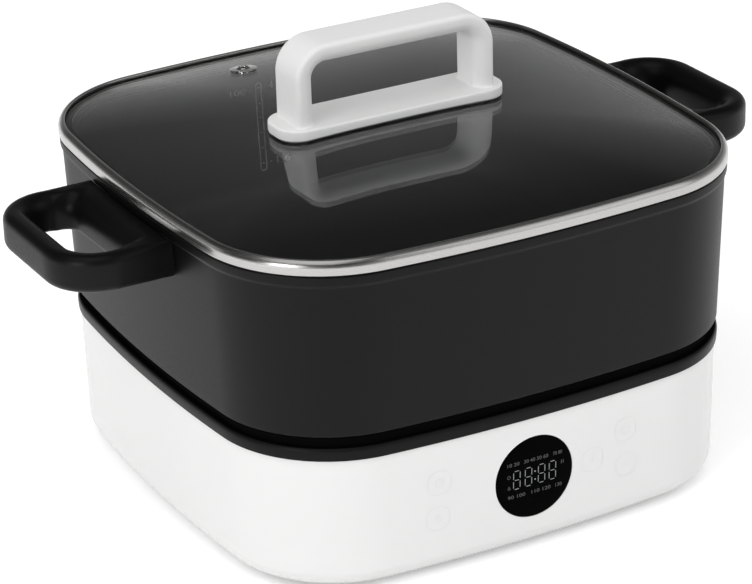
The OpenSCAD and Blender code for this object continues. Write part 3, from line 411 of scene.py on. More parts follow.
# Turned metal: the sine of the distance from the vertical axis, as rings in relief and gloss.
def turnedMaterial(name, colour, rough, ringPitch):
    mat, nodes, links, shader, coord = newMaterial(name)
    setShader(shader, metal=1.0)
    flat = nodes.new("ShaderNodeVectorMath")
    flat.operation = "MULTIPLY"
    flat.inputs[1].default_value = (1, 1, 0)
    links.new(coord, flat.inputs[0])
    radius = nodes.new("ShaderNodeVectorMath")
    radius.operation = "LENGTH"
    links.new(flat.outputs["Vector"], radius.inputs[0])
    phase = mathNode(nodes, links, "MULTIPLY", radius.outputs["Value"], 2 * math.pi / ringPitch)
    wave = mathNode(nodes, links, "SINE", phase)
    cloud = noise(nodes, links, coord, 30)
    links.new(tint(nodes, links, cloud, shaded(colour, 0.85), colour), shader.inputs["Base Color"])
    gloss = spread(nodes, links, wave, rough * 0.85, rough * 1.15, fromLow=-1, fromHigh=1)
    links.new(gloss, shader.inputs["Roughness"])
    bump(nodes, links, shader, wave, 0.25, distance=0.00004)
    return mat


def glassMaterial():
    mat, nodes, links, shader, coord = newMaterial("clearGlass")
    setShader(shader, clear=1.0, ior=1.5, specular=0.28)
    shader.inputs["Base Color"].default_value = (0.93, 0.945, 0.935, 1)
    haze = noise(nodes, links, coord, 6, detail=2.0)
    links.new(spread(nodes, links, haze, 0.0, 0.012), shader.inputs["Roughness"])
    return mat


def glowMaterial(name, colour, strength):
    mat, nodes, links, shader, coord = newMaterial(name)
    cells = noise(nodes, links, coord, 1500, detail=1.0)
    links.new(tint(nodes, links, cells, shaded(colour, 0.75), colour), shader.inputs["Base Color"])
    shader.inputs["Emission Color"].default_value = (*colour, 1)
    setShader(shader, rough=0.5, glow=strength)
    return mat


whitePlastic = plainMaterial("whitePlastic", (0.8, 0.8, 0.797), 0.22, vary=0.1, grain=260, relief=0.03,
                             cloud=5, colourVary=0.012)
whiteSatin = plainMaterial("whiteSatin", (0.76, 0.76, 0.758), 0.55, vary=0.1, grain=500, relief=0.05,
                           cloud=6, colourVary=0.012, specular=0.3)
blackPlastic = plainMaterial("blackPlastic", (0.003, 0.003, 0.0031), 0.4, vary=0.1, relief=0.1,
                             colourVary=0.1, specular=0.17)
ringPlastic = plainMaterial("ringPlastic", (0.007, 0.007, 0.0072), 0.34, vary=0.12, colourVary=0.1,
                            specular=0.1)
# painted shade: a darker, duller copy of the ring's plastic for the groove that lies in the pot's shade
paintedGrooveShade = plainMaterial("paintedGrooveShade", (0.002, 0.002, 0.0021), 0.7, colourVary=0.1, specular=0.02)
windowAcrylic = plainMaterial("windowAcrylic", (0.001, 0.001, 0.0011), 0.09, vary=0.1, grain=200,
                              relief=0.01, colourVary=0.02, specular=0.012)
coating = coatingMaterial(potFinish)
glass = glassMaterial()
rimSteel = brushedMaterial("rimSteel", (0.56, 0.552, 0.544), 0.26, (0.02, 0.02, 9), scale=260, relief=0.05)
eyeletSteel = brushedMaterial("eyeletSteel", (0.8, 0.79, 0.78), 0.14, (1, 1, 1), scale=120, relief=0.03)
screwSteel = brushedMaterial("screwSteel", (0.62, 0.62, 0.63), 0.3, (1, 1, 6), scale=500, relief=0.08)
sheetSteel = plainMaterial("sheetSteel", (0.6, 0.6, 0.62), 0.34, vary=0.3, grain=120, relief=0.1,
                           cloud=40, colourVary=0.15, metal=1.0)
elementSteel = plainMaterial("elementSteel", (0.3, 0.28, 0.27), 0.45, vary=0.2, grain=300, relief=0.2,
                             cloud=60, colourVary=0.3, metal=1.0)
plateMetal = turnedMaterial("plateMetal", (0.62, 0.62, 0.63), 0.34, ringPitch=0.0011)
capMetal = turnedMaterial("capMetal", (0.78, 0.78, 0.79), 0.25, ringPitch=0.0007)
sealRubber = plainMaterial("sealRubber", (0.06, 0.06, 0.06), 0.62, vary=0.1, grain=700, relief=0.2)
# painted light: a paler grey than dark rubber, so the thin shaded line between plate and glass is not dark
padRubberPaintedLight = plainMaterial("padRubberPaintedLight", (0.26, 0.26, 0.26), 0.6, vary=0.1, grain=700, relief=0.2)
footRubber = plainMaterial("footRubber", (0.03, 0.03, 0.03), 0.75, vary=0.1, relief=0.3)
darkPlastic = plainMaterial("darkPlastic", (0.028, 0.028, 0.029), 0.5, vary=0.15, grain=1100, relief=0.35)
print("materials made")


windowSetup = {"radius": 21, "flange": 23.4, "flangeThick": 1.2, "z": 39.7, "faceY": -134.56,
               "backY": -130.07}
shellSetup = {"bottom": 3, "top": 71, "half": 135.2, "draft": 1, "footRadius": 9.3, "wall": 2.6,
              "wallTop": 60, "edgeRound": (0.5, 0.3), "windowGap": 0.2, "inletZ": 30,
              "inletHalf": (14.4, 10.4), "cutFrom": 125, "cutDepth": 20}


# Half width of the shell's outer face at a height: a straight draft below the top edge.
def shellHalf(z):
    s = shellSetup
    return s["half"] - s["draft"] * (s["top"] - z) / (s["top"] - s["bottom"] - s["footRadius"])


# Arc in a section, about (w, z).
def arc(w, z, radius, startDeg, endDeg, steps):
    a = np.radians(np.linspace(startDeg, endDeg, steps))
    return np.stack([w + radius * np.cos(a), z + radius * np.sin(a)], axis=1)


# The section is the foot's arc, the drafted wall and the soft top edge, and back down inside by
# one wall. It is carried round the square, and window and inlet are cut through front and back.
def makeShell(s):
    footW = s["half"] - s["draft"] - s["footRadius"]
    footZ = s["bottom"] + s["footRadius"]
    wallW = shellHalf(s["wallTop"])
    corners = [[wallW, s["wallTop"]], [s["half"], s["top"]], [s["half"] - s["wall"], s["top"]],
               [wallW - s["wall"], s["wallTop"]]]
    edge = softCorners(corners, [0, *s["edgeRound"], 0])
    wallZ = np.linspace(footZ, s["wallTop"], 10)[1:-1]
    wall = np.stack([shellHalf(wallZ), wallZ], axis=1)
    profile = np.concatenate([arc(footW, footZ, s["footRadius"], -90, 0, 16), wall, edge,
                              (wall - [s["wall"], 0])[::-1],
                              arc(footW, footZ, s["footRadius"] - s["wall"], 0, -90, 10)])
    hoop = closedHoop(square, squareHalf, profile)
    obj = putMesh("shell", hoop, whitePlastic, "base", "base_shell", 30)
    near, far = s["cutFrom"], s["cutFrom"] + s["cutDepth"]
    hole = rod(windowSetup["radius"] + s["windowGap"], 0, s["cutDepth"], steps=128)
    window = frontward(hole, (0, -near, windowSetup["z"]))
    halfX, halfZ = s["inletHalf"]
    inlet = block((-halfX, near, s["inletZ"] - halfZ), (halfX, far, s["inletZ"] + halfZ))
    cutAway(obj, [window, inlet], 30)


makeShell(shellSetup)

ringSetup = {"low": shellSetup["top"], "half": 136.5, "groove": 135.0, "skirt": 132.2, "skirtWall": 2.4,
             "skirtDrop": 5, "top": 77.4, "lip": 81.6, "deckZ": 76.8, "deck": 2.6, "deckStart": 12,
             "deckLap": 0.02, "well": 104, "deckSteps": 9, "post": 86, "postRadius": 5, "postLow": 5.5,
             "boss": 107, "bossRadius": 4.5, "bossLow": 66.2, "sunk": 1}


# The hoop's section is carried round the square. The deck between it and the round well is made
# of rings that turn from one outline to the other, and posts and bosses hang under it.
def makeRing(s):
    h, g, k = s["half"], s["groove"], s["skirt"]
    top, lip, deckZ = s["top"], s["lip"], s["deckZ"]
    underZ, dropZ = deckZ - s["deck"], s["low"] - s["skirtDrop"]
    outer = [[k, s["low"]], [h - 0.3, s["low"]], [h, top - 2], [h - 0.3, top - 0.7], [h - 1.1, top]]
    groove = [[g - 1.9, top + 0.1], [g - 2.1, top + 0.5]]
    raised = [[g - 2.2, lip - 0.5], [g - 2.7, lip], [g - 3.5, lip], [g - 4.1, lip - 0.5]]
    flat = [[g - 4.8, deckZ + 0.4], [g - s["deckStart"], deckZ], [g - s["deckStart"], underZ]]
    skirt = [[k - s["skirtWall"], underZ], [k - s["skirtWall"], dropZ], [k, dropZ]]
    radii = [0, 0.3, 1, 0.5, 0.7, 0.3, 0.3, 0.4, 0.4, 0.4, 0.4, 1, 0, 0, 0.3, 0, 0]
    profile = softCorners(outer + groove + raised + flat + skirt, radii, 4)
    hoop = closedHoop(square, squareHalf, profile)

    point, normal = square
    inner = point - (squareHalf - g + s["deckStart"]) * normal
    circle = s["well"] * point / np.linalg.norm(point, axis=1)[:, None]
    inwards = np.linspace(-s["deckLap"], 1, s["deckSteps"])
    f = np.concatenate([inwards, np.linspace(1, -s["deckLap"], s["deckSteps"])])[:, None, None]
    z = np.repeat([deckZ, underZ], s["deckSteps"])[:, None, None]
    xy = inner[None] * (1 - f) + circle[None] * f
    deck, faces = gridPart(np.concatenate([xy, np.broadcast_to(z, xy.shape[:2] + (1,))], axis=2), True)

    under = deckZ - s["sunk"]
    posts = [rod(s["postRadius"], s["postLow"], under, (x * s["post"], y * s["post"]))
             for x in (-1, 1) for y in (-1, 1)]
    bosses = [rod(s["bossRadius"], s["bossLow"], under, (x * s["boss"], y * s["boss"]))
              for x, y in ((1, 0), (-1, 0), (0, 1), (0, -1))]
    part = joined(hoop, (deck, faces[:, ::-1]), *posts, *bosses)
    obj = putMesh("seatRing", part, ringPlastic, "base", "seat_ring", 30)
    # all above the outer face lies in the shade of the pot; it gets a darker, duller copy of the ring's
    # plastic, with the top edge itself, as painted shade
    obj.data.materials.append(paintedGrooveShade)
    centre = np.empty(3 * len(obj.data.polygons))
    obj.data.polygons.foreach_get("center", centre)
    paintedShadeFaces = centre[2::3] > top * milli - 0.0001
    obj.data.polygons.foreach_set("material_index", paintedShadeFaces.astype(np.int32))


makeRing(ringSetup)
print("base shell and seat ring made")


# Round disc with a flange behind the wall and a small bevel at the front, stacked along its axis.
def makeWindow(s):
    deep = s["backY"] - s["faceY"]
    r, f, t = s["radius"], s["flange"], s["flangeThick"]
    rows = np.array([[f, 0, 0], [f, 0, 1], [f, t, 1], [r, t, 1], [r, deep - 0.3, 1],
                     [r - 0.15, deep - 0.08, 1], [r - 0.4, deep, 1], [r - 0.4, deep, 0.6],
                     [r - 0.4, deep, 0]])
    part = frontward(cappedStack(circleOutline(f, 128), f, rows), (0, s["backY"], s["z"]))
    putMesh("displayWindow", part, windowAcrylic, "base", "display_lens", 30)


makeWindow(windowSetup)

# signs are flat shapes in (x, z), laid on a wall as thin plates just in front of it
signSetup = {"thick": 0.02, "lift": 0.03}


# Strip from a to b with pointed ends, as a display segment has.
def bar(a, b, width):
    a, b = np.array(a, float), np.array(b, float)
    d = (b - a) / np.linalg.norm(b - a)
    n = np.array([-d[1], d[0]]) * width / 2
    e = d * width / 2
    points = np.array([a, a + e + n, b - e + n, b, b - e - n, a + e - n])
    return points, np.array([[0, 5, 2, 1], [5, 4, 3, 2]])


# Band between two circles, or a part of it.
def ringSign(centre, radius, width, start=0, end=360, steps=48):
    a = np.radians(np.linspace(start, end, steps + 1))
    unit = np.stack([np.cos(a), np.sin(a)], axis=1)
    points = np.concatenate([unit * (radius - width / 2), unit * (radius + width / 2)]) + np.array(centre)
    i = np.arange(steps)
    return points, np.stack([i, i + steps + 1, i + steps + 2, i + 1], axis=1)


# Band along a closed outline.
def loopSign(outline, width):
    point, normal = outline
    n = len(point)
    i, j = np.arange(n), (np.arange(n) + 1) % n
    return np.concatenate([point, point - width * normal]), np.stack([i, j, n + j, n + i], axis=1)


# Plain figures from Blender's own typeface, as triangles, drawn out to a width if one is given.
def numberSign(text, centre, height, width=0):
    curve = bpy.data.curves.new("figures", "FONT")
    curve.body, curve.align_x, curve.align_y, curve.size = text, "CENTER", "CENTER", 1.0
    curve.resolution_u = 3
    obj = bpy.data.objects.new("figures", curve)
    scene.collection.objects.link(obj)
    mesh = obj.to_mesh()
    mesh.calc_loop_triangles()
    co = np.empty(len(mesh.vertices) * 3)
    mesh.vertices.foreach_get("co", co)
    tri = np.empty(len(mesh.loop_triangles) * 3, int)
    mesh.loop_triangles.foreach_get("vertices", tri)
    bpy.data.objects.remove(obj)
    bpy.data.curves.remove(curve)
    points, tri = co.reshape(-1, 3)[:, :2], tri.reshape(-1, 3)
    size = points.max(axis=0) - points.min(axis=0)
    tall = height / size[1]
    points = points * [width / size[0] if width else tall, tall] + np.array(centre)
    return points, np.concatenate([tri, tri[:, 2:]], axis=1)


def moved(signs, place):
    return [(points + np.array(place), faces) for points, faces in signs]


# Signs at their wall's y, facing the front, and drawn back by their thickness to closed plates.
def putSigns(name, signs, wall, material, body):
    points, faces = joined(*signs)
    thick = signSetup["thick"]
    front = np.stack([points[:, 0], wall(points[:, 0], points[:, 1]) - thick, points[:, 1]], axis=1)
    obj = newObject(name, front, [list(dict.fromkeys(f)) for f in faces.tolist()])
    bm = bmesh.new()
    bm.from_mesh(obj.data)
    bmesh.ops.remove_doubles(bm, verts=bm.verts, dist=mergeReach)
    bmesh.ops.recalc_face_normals(bm, faces=bm.faces)
    if sum(f.normal.y * f.calc_area() for f in bm.faces) > 0:
        bmesh.ops.reverse_faces(bm, faces=bm.faces)
    grown = bmesh.ops.extrude_face_region(bm, geom=bm.faces[:])
    rear = [v for v in grown["geom"] if isinstance(v, bmesh.types.BMVert)]
    bmesh.ops.translate(bm, verts=rear, vec=(0, thick * milli, 0))
    bmesh.ops.recalc_face_normals(bm, faces=bm.faces)
    bm.to_mesh(obj.data)
    bm.free()
    obj.data.shade_flat()
    dress(obj, material, body)


# a label is its text and the x of its two ends; a mark is a bar's two ends and its width
digitSetup = {"left": (-9.6, -3.2, 4.0, 10.0), "mid": 0.5, "half": (1.8, 4.7), "stroke": 0.32, "gap": 0.6,
              "slant": 0.02, "colon": ((0.4, 2.5), (0.4, -1.7)), "dot": (0.2, 0.4),
              "labelTall": 1.8, "labelZ": (8.8, -8.1),
              "labels": ((("10 20", -14.9, -8.4), ("30 40 50 60", -5.6, 7.6), ("70 80", 10.4, 15.3)),
                         (("90 100", -14.6, -5.1), ("110 120", -1.9, 8.6), ("130", 11.4, 14.8))),
              "ring": ((-13.9, 2.8), 0.8, 0.25),
              "marks": (((-14.6, -3.5), (-13.2, -3.5), 0.25), ((-14.6, -3.5), (-13.9, -1.9), 0.25),
                        ((-13.2, -3.5), (-13.9, -1.9), 0.25), ((15.0, 2.6), (15.0, 4.6), 0.3),
                        ((16.0, 2.6), (16.0, 4.6), 0.3)),
              "figureColour": (0.3, 0.305, 0.31), "labelColour": (0.075, 0.075, 0.077), "glow": 0.2}


# Four figures of seven bars each, a colon, and two rows of small plain numbers with a few marks.
def makeDigits(s):
    hx, hz = s["half"]
    corners = {"tl": (-hx, hz), "tr": (hx, hz), "ml": (-hx, 0), "mr": (hx, 0),
               "bl": (-hx, -hz), "br": (hx, -hz)}
    signs = []
    for x in s["left"]:
        for ends in ("tl tr", "ml mr", "bl br", "tl ml", "tr mr", "ml bl", "mr br"):
            a, b = (np.array(corners[c]) for c in ends.split())
            trim = (b - a) / np.linalg.norm(b - a) * s["gap"]
            a, b = ((x + p[0] + s["slant"] * p[1], s["mid"] + p[1]) for p in (a + trim, b - trim))
            signs.append(bar(a, b, s["stroke"]))
    signs += [ringSign(place, *s["dot"], steps=12) for place in s["colon"]]
    faint = []
    for rowZ, labels in zip(s["labelZ"], s["labels"]):
        faint += [numberSign(text, ((x0 + x1) / 2, rowZ), s["labelTall"], x1 - x0)
                  for text, x0, x1 in labels]
    faint += [ringSign(*s["ring"])] + [bar(*mark) for mark in s["marks"]]

    def wall(x, z):
        return np.full(len(x), windowSetup["faceY"] - signSetup["lift"])
    middle = (0, windowSetup["z"])
    lit = glowMaterial("displayFigures", s["figureColour"], s["glow"])
    dim = glowMaterial("displayLabels", s["labelColour"], s["glow"])
    putSigns("displayFigures", moved(signs, middle), wall, lit, "base")
    putSigns("displayLabels", moved(faint, middle), wall, dim, "base")


makeDigits(digitSetup)

# each key has its place and a small plain sign about its middle
keySetup = {"half": 6.2, "round": 4.96, "line": 0.35, "keys": (
    ((51.8, 49.9), [ringSign((0, 0), 2.3, 0.4, 115, 425), bar((0, 0.6), (0, 2.9), 0.4)]),
    ((32.7, 39.2), [bar((-1.8, 0), (1.8, 0), 0.4), bar((0, -1.8), (0, -0.25), 0.4),
                    bar((0, 0.25), (0, 1.8), 0.4)]),
    ((52.5, 31.0), [bar((-1.8, 0), (1.8, 0), 0.4)]),
    ((-50.5, 49.6), [ringSign((0, 0), 2.2, 0.35), bar((0, 0), (0, 1.5), 0.3), bar((0, 0), (1.2, 0), 0.3)]),
    ((-51.4, 31.0), [bar((-1.6, z), (1.6, z), 0.35) for z in (-1.2, 0, 1.2)]))}


# Touch fields: a thin round line about each sign, printed on the bowed front.
def makeKeys(s):
    border = loopSign(roundRectOutline(s["half"], s["half"], s["round"]), s["line"])
    signs = [sign for place, shapes in s["keys"] for sign in moved([border, *shapes], place)]

    def wall(x, z):
        return -sideReach(shellHalf(z), x) - signSetup["lift"]
    printed = plainMaterial("keyPrint", (0.72, 0.72, 0.723), 0.3, vary=0.1, relief=0.03, colourVary=0.03)
    putSigns("touchSigns", signs, wall, printed, "base")


makeKeys(keySetup)
print("display and keys made")


potSetup = {"z": 80, "floorZ": 84.5, "step": 129.2, "footHalf": 136.1, "topHalf": 138.7, "sideZ": 83.4,
            "brimLow": 158.4, "brimTop": 164.2, "wall": 3.1, "floorRadius": 14, "lugX": (136.0, 147.8),
            "lugHalf": 14, "lugZ": (146.95, 153.95)}


# Half width of the pot's outer wall at a height: a straight taper up to the brim.
def potHalf(z):
    s = potSetup
    return s["footHalf"] + (s["topHalf"] - s["footHalf"]) * (z - s["sideZ"]) / (s["brimLow"] - s["sideZ"])


# Half width of the inner wall: a straight taper from the brim down to the floor's fillet.
def potInside(z):
    s = potSetup
    top, foot = s["topHalf"] - s["wall"], s["footHalf"] - s["wall"]
    return top + (foot - top) * (s["brimLow"] - z) / (s["brimLow"] - s["floorZ"] - s["floorRadius"])


# Rings from the middle of the underside out, up the stepped foot and the wall, over the thicker
# brim, and down inside to the middle of the floor. A lug stands on each side wall.
def makePot(s):
    step, foot, top, brimLow, brimTop = s["step"], s["footHalf"], s["topHalf"], s["brimLow"], s["brimTop"]
    inTop, inFoot = top - s["wall"], foot - s["wall"]
    under = softCorners([[step - 30, s["z"]], [step - 1.6, s["z"]], [step, s["z"] + 2.3],
                         [foot - 1.2, s["z"] + 2.5], [foot, s["sideZ"]], [foot + 0.3, s["sideZ"] + 8]],
                        [0, 1.5, 0.8, 1.0, 1.0, 0], 6)[6:-6]
    wallZ = np.linspace(s["sideZ"] + 4, brimLow - 1.5, 10)
    brim = softCorners([[top - 0.1, brimLow - 3], [top, brimLow], [top + 1.0, brimLow + 1.2],
                        [top + 1.1, brimTop], [inTop, brimTop], [inTop - 0.2, brimTop - 6]],
                       [0, 0.9, 0.9, 0.8, 0.6, 0], 6)[6:-6]
    inZ = np.linspace(brimTop - 3, s["floorZ"] + s["floorRadius"] + 2, 8)
    fillet = arc(inFoot - s["floorRadius"], s["floorZ"] + s["floorRadius"], s["floorRadius"], 0, -90, 14)
    rings = np.concatenate([under, np.stack([potHalf(wallZ), wallZ], axis=1), brim,
                            np.stack([potInside(inZ), inZ], axis=1), fillet])
    first = [[rings[0, 0], s["z"], f] for f in np.linspace(0, 1, 7)[:-1]]
    last = [[rings[-1, 0], s["floorZ"], f] for f in np.linspace(1, 0, 9)[1:]]
    rows = np.concatenate([rings, np.ones((len(rings), 1))], axis=1)
    solid = cappedStack(square, squareHalf, np.concatenate([first, rows, last]))
    (near, far), (low, high) = s["lugX"], s["lugZ"]
    lugs = [block((x0, -s["lugHalf"], low), (x1, s["lugHalf"], high))
            for x0, x1 in ((near, far), (-far, -near))]
    putMesh("potVessel", joined(solid, *lugs), coating, "pot", "pot_body", 30)


makePot(potSetup)

# a side bar is the x of its two ends; a figure is its text, x, height and width
gaugeSetup = {"x": -2.2, "lean": 0.02, "half": 1.95, "low": 101.4, "high": 150.3, "ticks": 6, "line": 0.55,
              "tickLine": 0.5, "tickHalf": 0.8, "topInset": 2.7, "lowInset": 4.3, "lift": 0.04,
              "topBars": ((3.4, 4.9), (-5.2, -3.7)), "lowBar": (3.8, 5.2),
              "topFigures": (("4", 7.4, 3.8, 0), ("100", -12.6, 3.4, 9)),
              "lowFigure": ("1.6", 11.2, 3.8, 8.2)}


# Level scale on the back wall: a long round-ended frame, short ticks and plain figures. It leans
# as one, by a share of the distance below its top.
def makeGauge(s):
    halfZ = (s["high"] - s["low"]) / 2
    border = loopSign(roundRectOutline(s["half"], halfZ, s["half"] * 0.95), s["line"])
    topZ, lowZ = s["high"] - s["topInset"], s["low"] + s["lowInset"]
    signs = moved([border], (0, (s["low"] + s["high"]) / 2))
    spans = [(-s["tickHalf"], s["tickHalf"], z) for z in np.linspace(topZ, lowZ, s["ticks"])]
    spans += [(x0, x1, topZ) for x0, x1 in s["topBars"]] + [(*s["lowBar"], lowZ)]
    signs += [bar((x0, z), (x1, z), s["tickLine"]) for x0, x1, z in spans]
    figures = [(figure, topZ) for figure in s["topFigures"]] + [(s["lowFigure"], lowZ)]
    signs += [numberSign(text, (x, z), tall, wide) for (text, x, tall, wide), z in figures]
    signs = [(p + np.stack([s["x"] + s["lean"] * (s["high"] - p[:, 1]), 0 * p[:, 1]], axis=1), f)
             for p, f in signs]

    def wall(x, z):
        return sideReach(potInside(z), x) - s["lift"]
    etched = plainMaterial("etchedMarks", (0.9, 0.9, 0.9), 0.4, vary=0.1, relief=0.1, colourVary=0.08)
    putSigns("levelMarks", signs, wall, etched, "pot")


makeGauge(gaugeSetup)
print("pot made")

# the slope above the finger gap is legTop wide and high at the grip and innerTop at the pot
handleSetup = {"reach": 192.6, "halfLength": 46.5, "outerCorner": 26, "rootCorner": 1, "low": 141.2,
               "thick": 18.5, "grip": 13.6, "gapHalf": 34.3, "gapCorner": (12.8, 9), "taper": 0.045,
               "pad": 16, "sunk": 7, "edge": 4.7, "innerTop": (12.5, 12.5), "legTop": (7, 10),
               "innerLow": 2.5, "edgeShare": 0.42, "slopeShare": 0.56, "arcSteps": 14,
               "runSteps": 12, "edgeSteps": 9, "clearance": 0.5, "cutLow": 130, "cutHigh": 172}


# Loop round a finger gap. At each station the section runs from the gap's edge to the outer edge
# and has quarter ellipses at its corners, the widest one above the gap.
def makeHandle(s):
    padX = potHalf(s["low"]) + s["pad"]
    gripX, backX = s["reach"] - s["grip"], padX - s["pad"] - s["sunk"]

    def loop(lowX, highX, halfY, atGrip, atPot):
        radii, steps = (atGrip, atPot, atPot, atGrip), (s["arcSteps"], s["runSteps"])
        return roundRectOutline((highX - lowX) / 2, halfY, radii, *steps)[0] + [(lowX + highX) / 2, 0]
    inner = loop(padX, gripX, s["gapHalf"], *s["gapCorner"])
    outer = loop(backX, s["reach"], s["halfLength"], s["outerCorner"], s["rootCorner"])
    # the legs come a little closer together towards the pot
    straight = s["reach"] - s["outerCorner"]
    outer[:, 1] *= 1 - s["taper"] * np.clip((straight - outer[:, 0]) / s["outerCorner"], 0, 1)
    length = np.linalg.norm(outer - inner, axis=1)[:, None]
    ahead = (outer - inner) / length
    halfL, halfZ = length / 2, s["thick"] / 2
    quadrant = np.repeat(np.arange(4), s["edgeSteps"])[None, :]
    signA, signZ = quadrantSigns(quadrant)
    sweep = np.linspace(0, math.pi / 2, s["edgeSteps"])[None, :]
    a = (np.arange(4)[:, None] * math.pi / 2 + sweep).ravel()[None, :]
    toPad = np.clip((gripX - inner[:, :1]) / (gripX - padX), 0, 1) ** 2
    wide, tall = (low + (high - low) * toPad for low, high in zip(s["legTop"], s["innerTop"]))
    slope = np.minimum(wide, s["slopeShare"] * length)
    along = np.where(signA > 0, np.minimum(s["edge"], s["edgeShare"] * length),
                     np.where(quadrant == 1, slope, s["innerLow"]))
    high = np.where(signA > 0, s["edge"], np.where(quadrant == 1, tall, s["innerLow"]))
    u = halfL + signA * (halfL - along) + along * np.cos(a)
    z = s["low"] + halfZ + signZ * (halfZ - high) + high * np.sin(a)
    xy = inner[:, None] + ahead[:, None] * u[:, :, None]
    return gridPart(np.concatenate([xy, np.broadcast_to(z, u.shape)[:, :, None]], axis=2), wrapRows=True)


# The pot's outer face with a small gap, as a solid that stands above and below the handles.
def potCutter(s):
    brimLow, top = potSetup["brimLow"], potSetup["topHalf"]
    z = [s["cutLow"], s["cutLow"], brimLow + 0.1, brimLow + 1.2, s["cutHigh"], s["cutHigh"]]
    low = potHalf(s["cutLow"])
    half = np.array([low, low, potHalf(brimLow), top + 1.1, top + 1.2, top + 1.2]) + s["clearance"]
    return cappedStack(square, squareHalf, np.stack([half, z, [0, 1, 1, 1, 1, 0]], axis=1))


rightHandle = makeHandle(handleSetup)
for name, part, node in (("rightHandle", rightHandle, "handle_right"),
                         ("leftHandle", mirroredX(rightHandle), "handle_left")):
    cutAway(putMesh(name, part, blackPlastic, "pot", node), [potCutter(handleSetup)])
print("side handles made")


# the rim rests just above the pot's brim
lidSetup = {"rimZ": potSetup["brimTop"] + 0.3, "rimTop": 171.7, "half": squareHalf, "lip": 3.4,
            "skirt": 133.2, "skirtLow": 160, "sheet": 0.9, "glassHalf": 137.9, "glassEdgeZ": 169.3,
            "glass": 4, "rise": 10.7, "power": 2.6, "vent": (-26.6, 101.7), "ventTube": 3.4,
            "ventFlange": 7, "ventGap": 0.3, "ventCut": 4, "screwX": (-49.4, 49.4), "screwHole": 3.1,
            "screwCut": (170, 186)}


# Height of the glass: the rise falls off with a power of the distance from the middle.
def domeZ(scale):
    s = lidSetup
    return s["glassEdgeZ"] + s["rise"] * (1 - np.power(scale, s["power"]))


# Share of the way from the middle to the glass edge, for points of a grid near the middle.
def domeShare(grid):
    return np.linalg.norm(grid[:, :, :2], axis=2) / lidSetup["glassHalf"]


# A part made about the origin, set on the dome at the vent. Its tilt is the arctangent of the
# dome's slope there, which is the derivative of domeZ.
def onVent(part):
    points, faces = part
    s = lidSetup
    x, y = s["vent"]
    scale = y / s["glassHalf"]
    slope = math.atan(s["rise"] * s["power"] * scale ** (s["power"] - 1) / s["glassHalf"])
    c, n = math.cos(slope), math.sin(slope)
    x0, y0, z0 = points.T
    turned = np.stack([x0, c * y0 + n * z0, -n * y0 + c * z0], axis=1)
    return turned + np.array([x, y, float(domeZ(scale))]), faces


# Scaled copies of the outline from the middle out on top, round the edge and back underneath.
def makeGlass(s):
    up = np.linspace(0, 0.985, 30) ** 0.8
    edge = np.array([[0.994, -0.25], [0.9985, -1.0], [1.0, -2.0], [0.9985, -3.0], [0.994, -3.75]])
    scale = np.concatenate([up, edge[:, 0], up[::-1]])
    drop = np.concatenate([0 * up, edge[:, 1], 0 * up - s["glass"]])
    rows = np.stack([np.full(len(scale), s["glassHalf"]), domeZ(scale) + drop, scale], axis=1)
    pane = cappedStack(square, squareHalf, rows)
    obj = putMesh("lidPane", pane, glass, "lid", "lid_glass", 60)
    holes = [onVent(rod(s["ventTube"] + s["ventGap"], -s["glass"] - s["ventCut"], s["ventCut"], steps=64))]
    holes += [rod(s["screwHole"], *s["screwCut"], (x, 0)) for x in s["screwX"]]
    cutAway(obj, holes, 60)


makeGlass(lidSetup)


# Channel round the glass: an upright outside, a lip rolled over the glass edge, a flat floor
# under it and a skirt down into the pot.
def makeRim(s):
    h, z0, z1 = s["half"], s["rimZ"], s["rimTop"]
    lipIn, floorZ, skirtIn = h - s["lip"], z0 + s["sheet"], s["skirt"] - s["sheet"]
    outside = [[h - 0.4, z0], [h + 0.1, z0 + 0.6], [h + 0.1, z1 - 3.4], [h - 0.1, z1 - 2.5],
               [h - 0.6, z1 - 1.5], [h - 1.4, z1 - 0.6], [h - 2.2, z1 - 0.1], [h - 2.8, z1],
               [lipIn, z1 - 0.5]]
    underLip = [[lipIn, z1 - 1.9], [h - 2.6, z1 - 1.2], [h - 1.9, z1 - 1.3], [h - 1.3, z1 - 1.95],
                [h - 0.95, z1 - 2.8], [h - 0.8, z1 - 3.4]]
    skirt = [[h - 0.8, floorZ], [skirtIn, floorZ], [skirtIn, s["skirtLow"]], [s["skirt"], s["skirtLow"]],
             [s["skirt"], z0]]
    radii = [0.4, 0.5, 0.6, 0.5, 0.5, 0.5, 0.5, 0.4, 0.3, 0.25, 0.3, 0.3, 0.3, 0.3, 0.3, 0.2, 0.6,
             0.3, 0.3, 0.8]
    hoop = closedHoop(square, squareHalf, softCorners(outside + underLip + skirt, radii, 6))
    putMesh("lidBand", hoop, rimSteel, "lid", "lid_rim", 50)


makeRim(lidSetup)


# Tube through the glass with a flat flange on top and a turned-out end below, as a ring.
def makeEyelet(s):
    t, f, under = s["ventTube"], s["ventFlange"], -s["glass"] - 0.2
    flange = [[t - 1, 0.9], [t - 0.7, 1.35], [t - 0.1, 1.3], [t + 0.3, 0.75], [f - 0.7, 0.62],
              [f - 0.1, 0.5], [f, 0.2], [f - 0.3, 0.06], [t, 0.1]]
    tube = [[t, under], [t + 2, under], [t + 2, under - 0.7], [t - 1, under - 0.7]]
    radii = [0.3, 0.3, 0.3, 0.3, 0.3, 0.2, 0.15, 0.1, 0, 0, 0.1, 0.2, 0.2]
    hoop = closedHoop(circleOutline(f), f, softCorners(flange + tube, radii))
    putMesh("steamEyelet", onVent(hoop), eyeletSteel, "lid", "vent_eyelet")


makeEyelet(lidSetup)
print("lid glass and rim made")

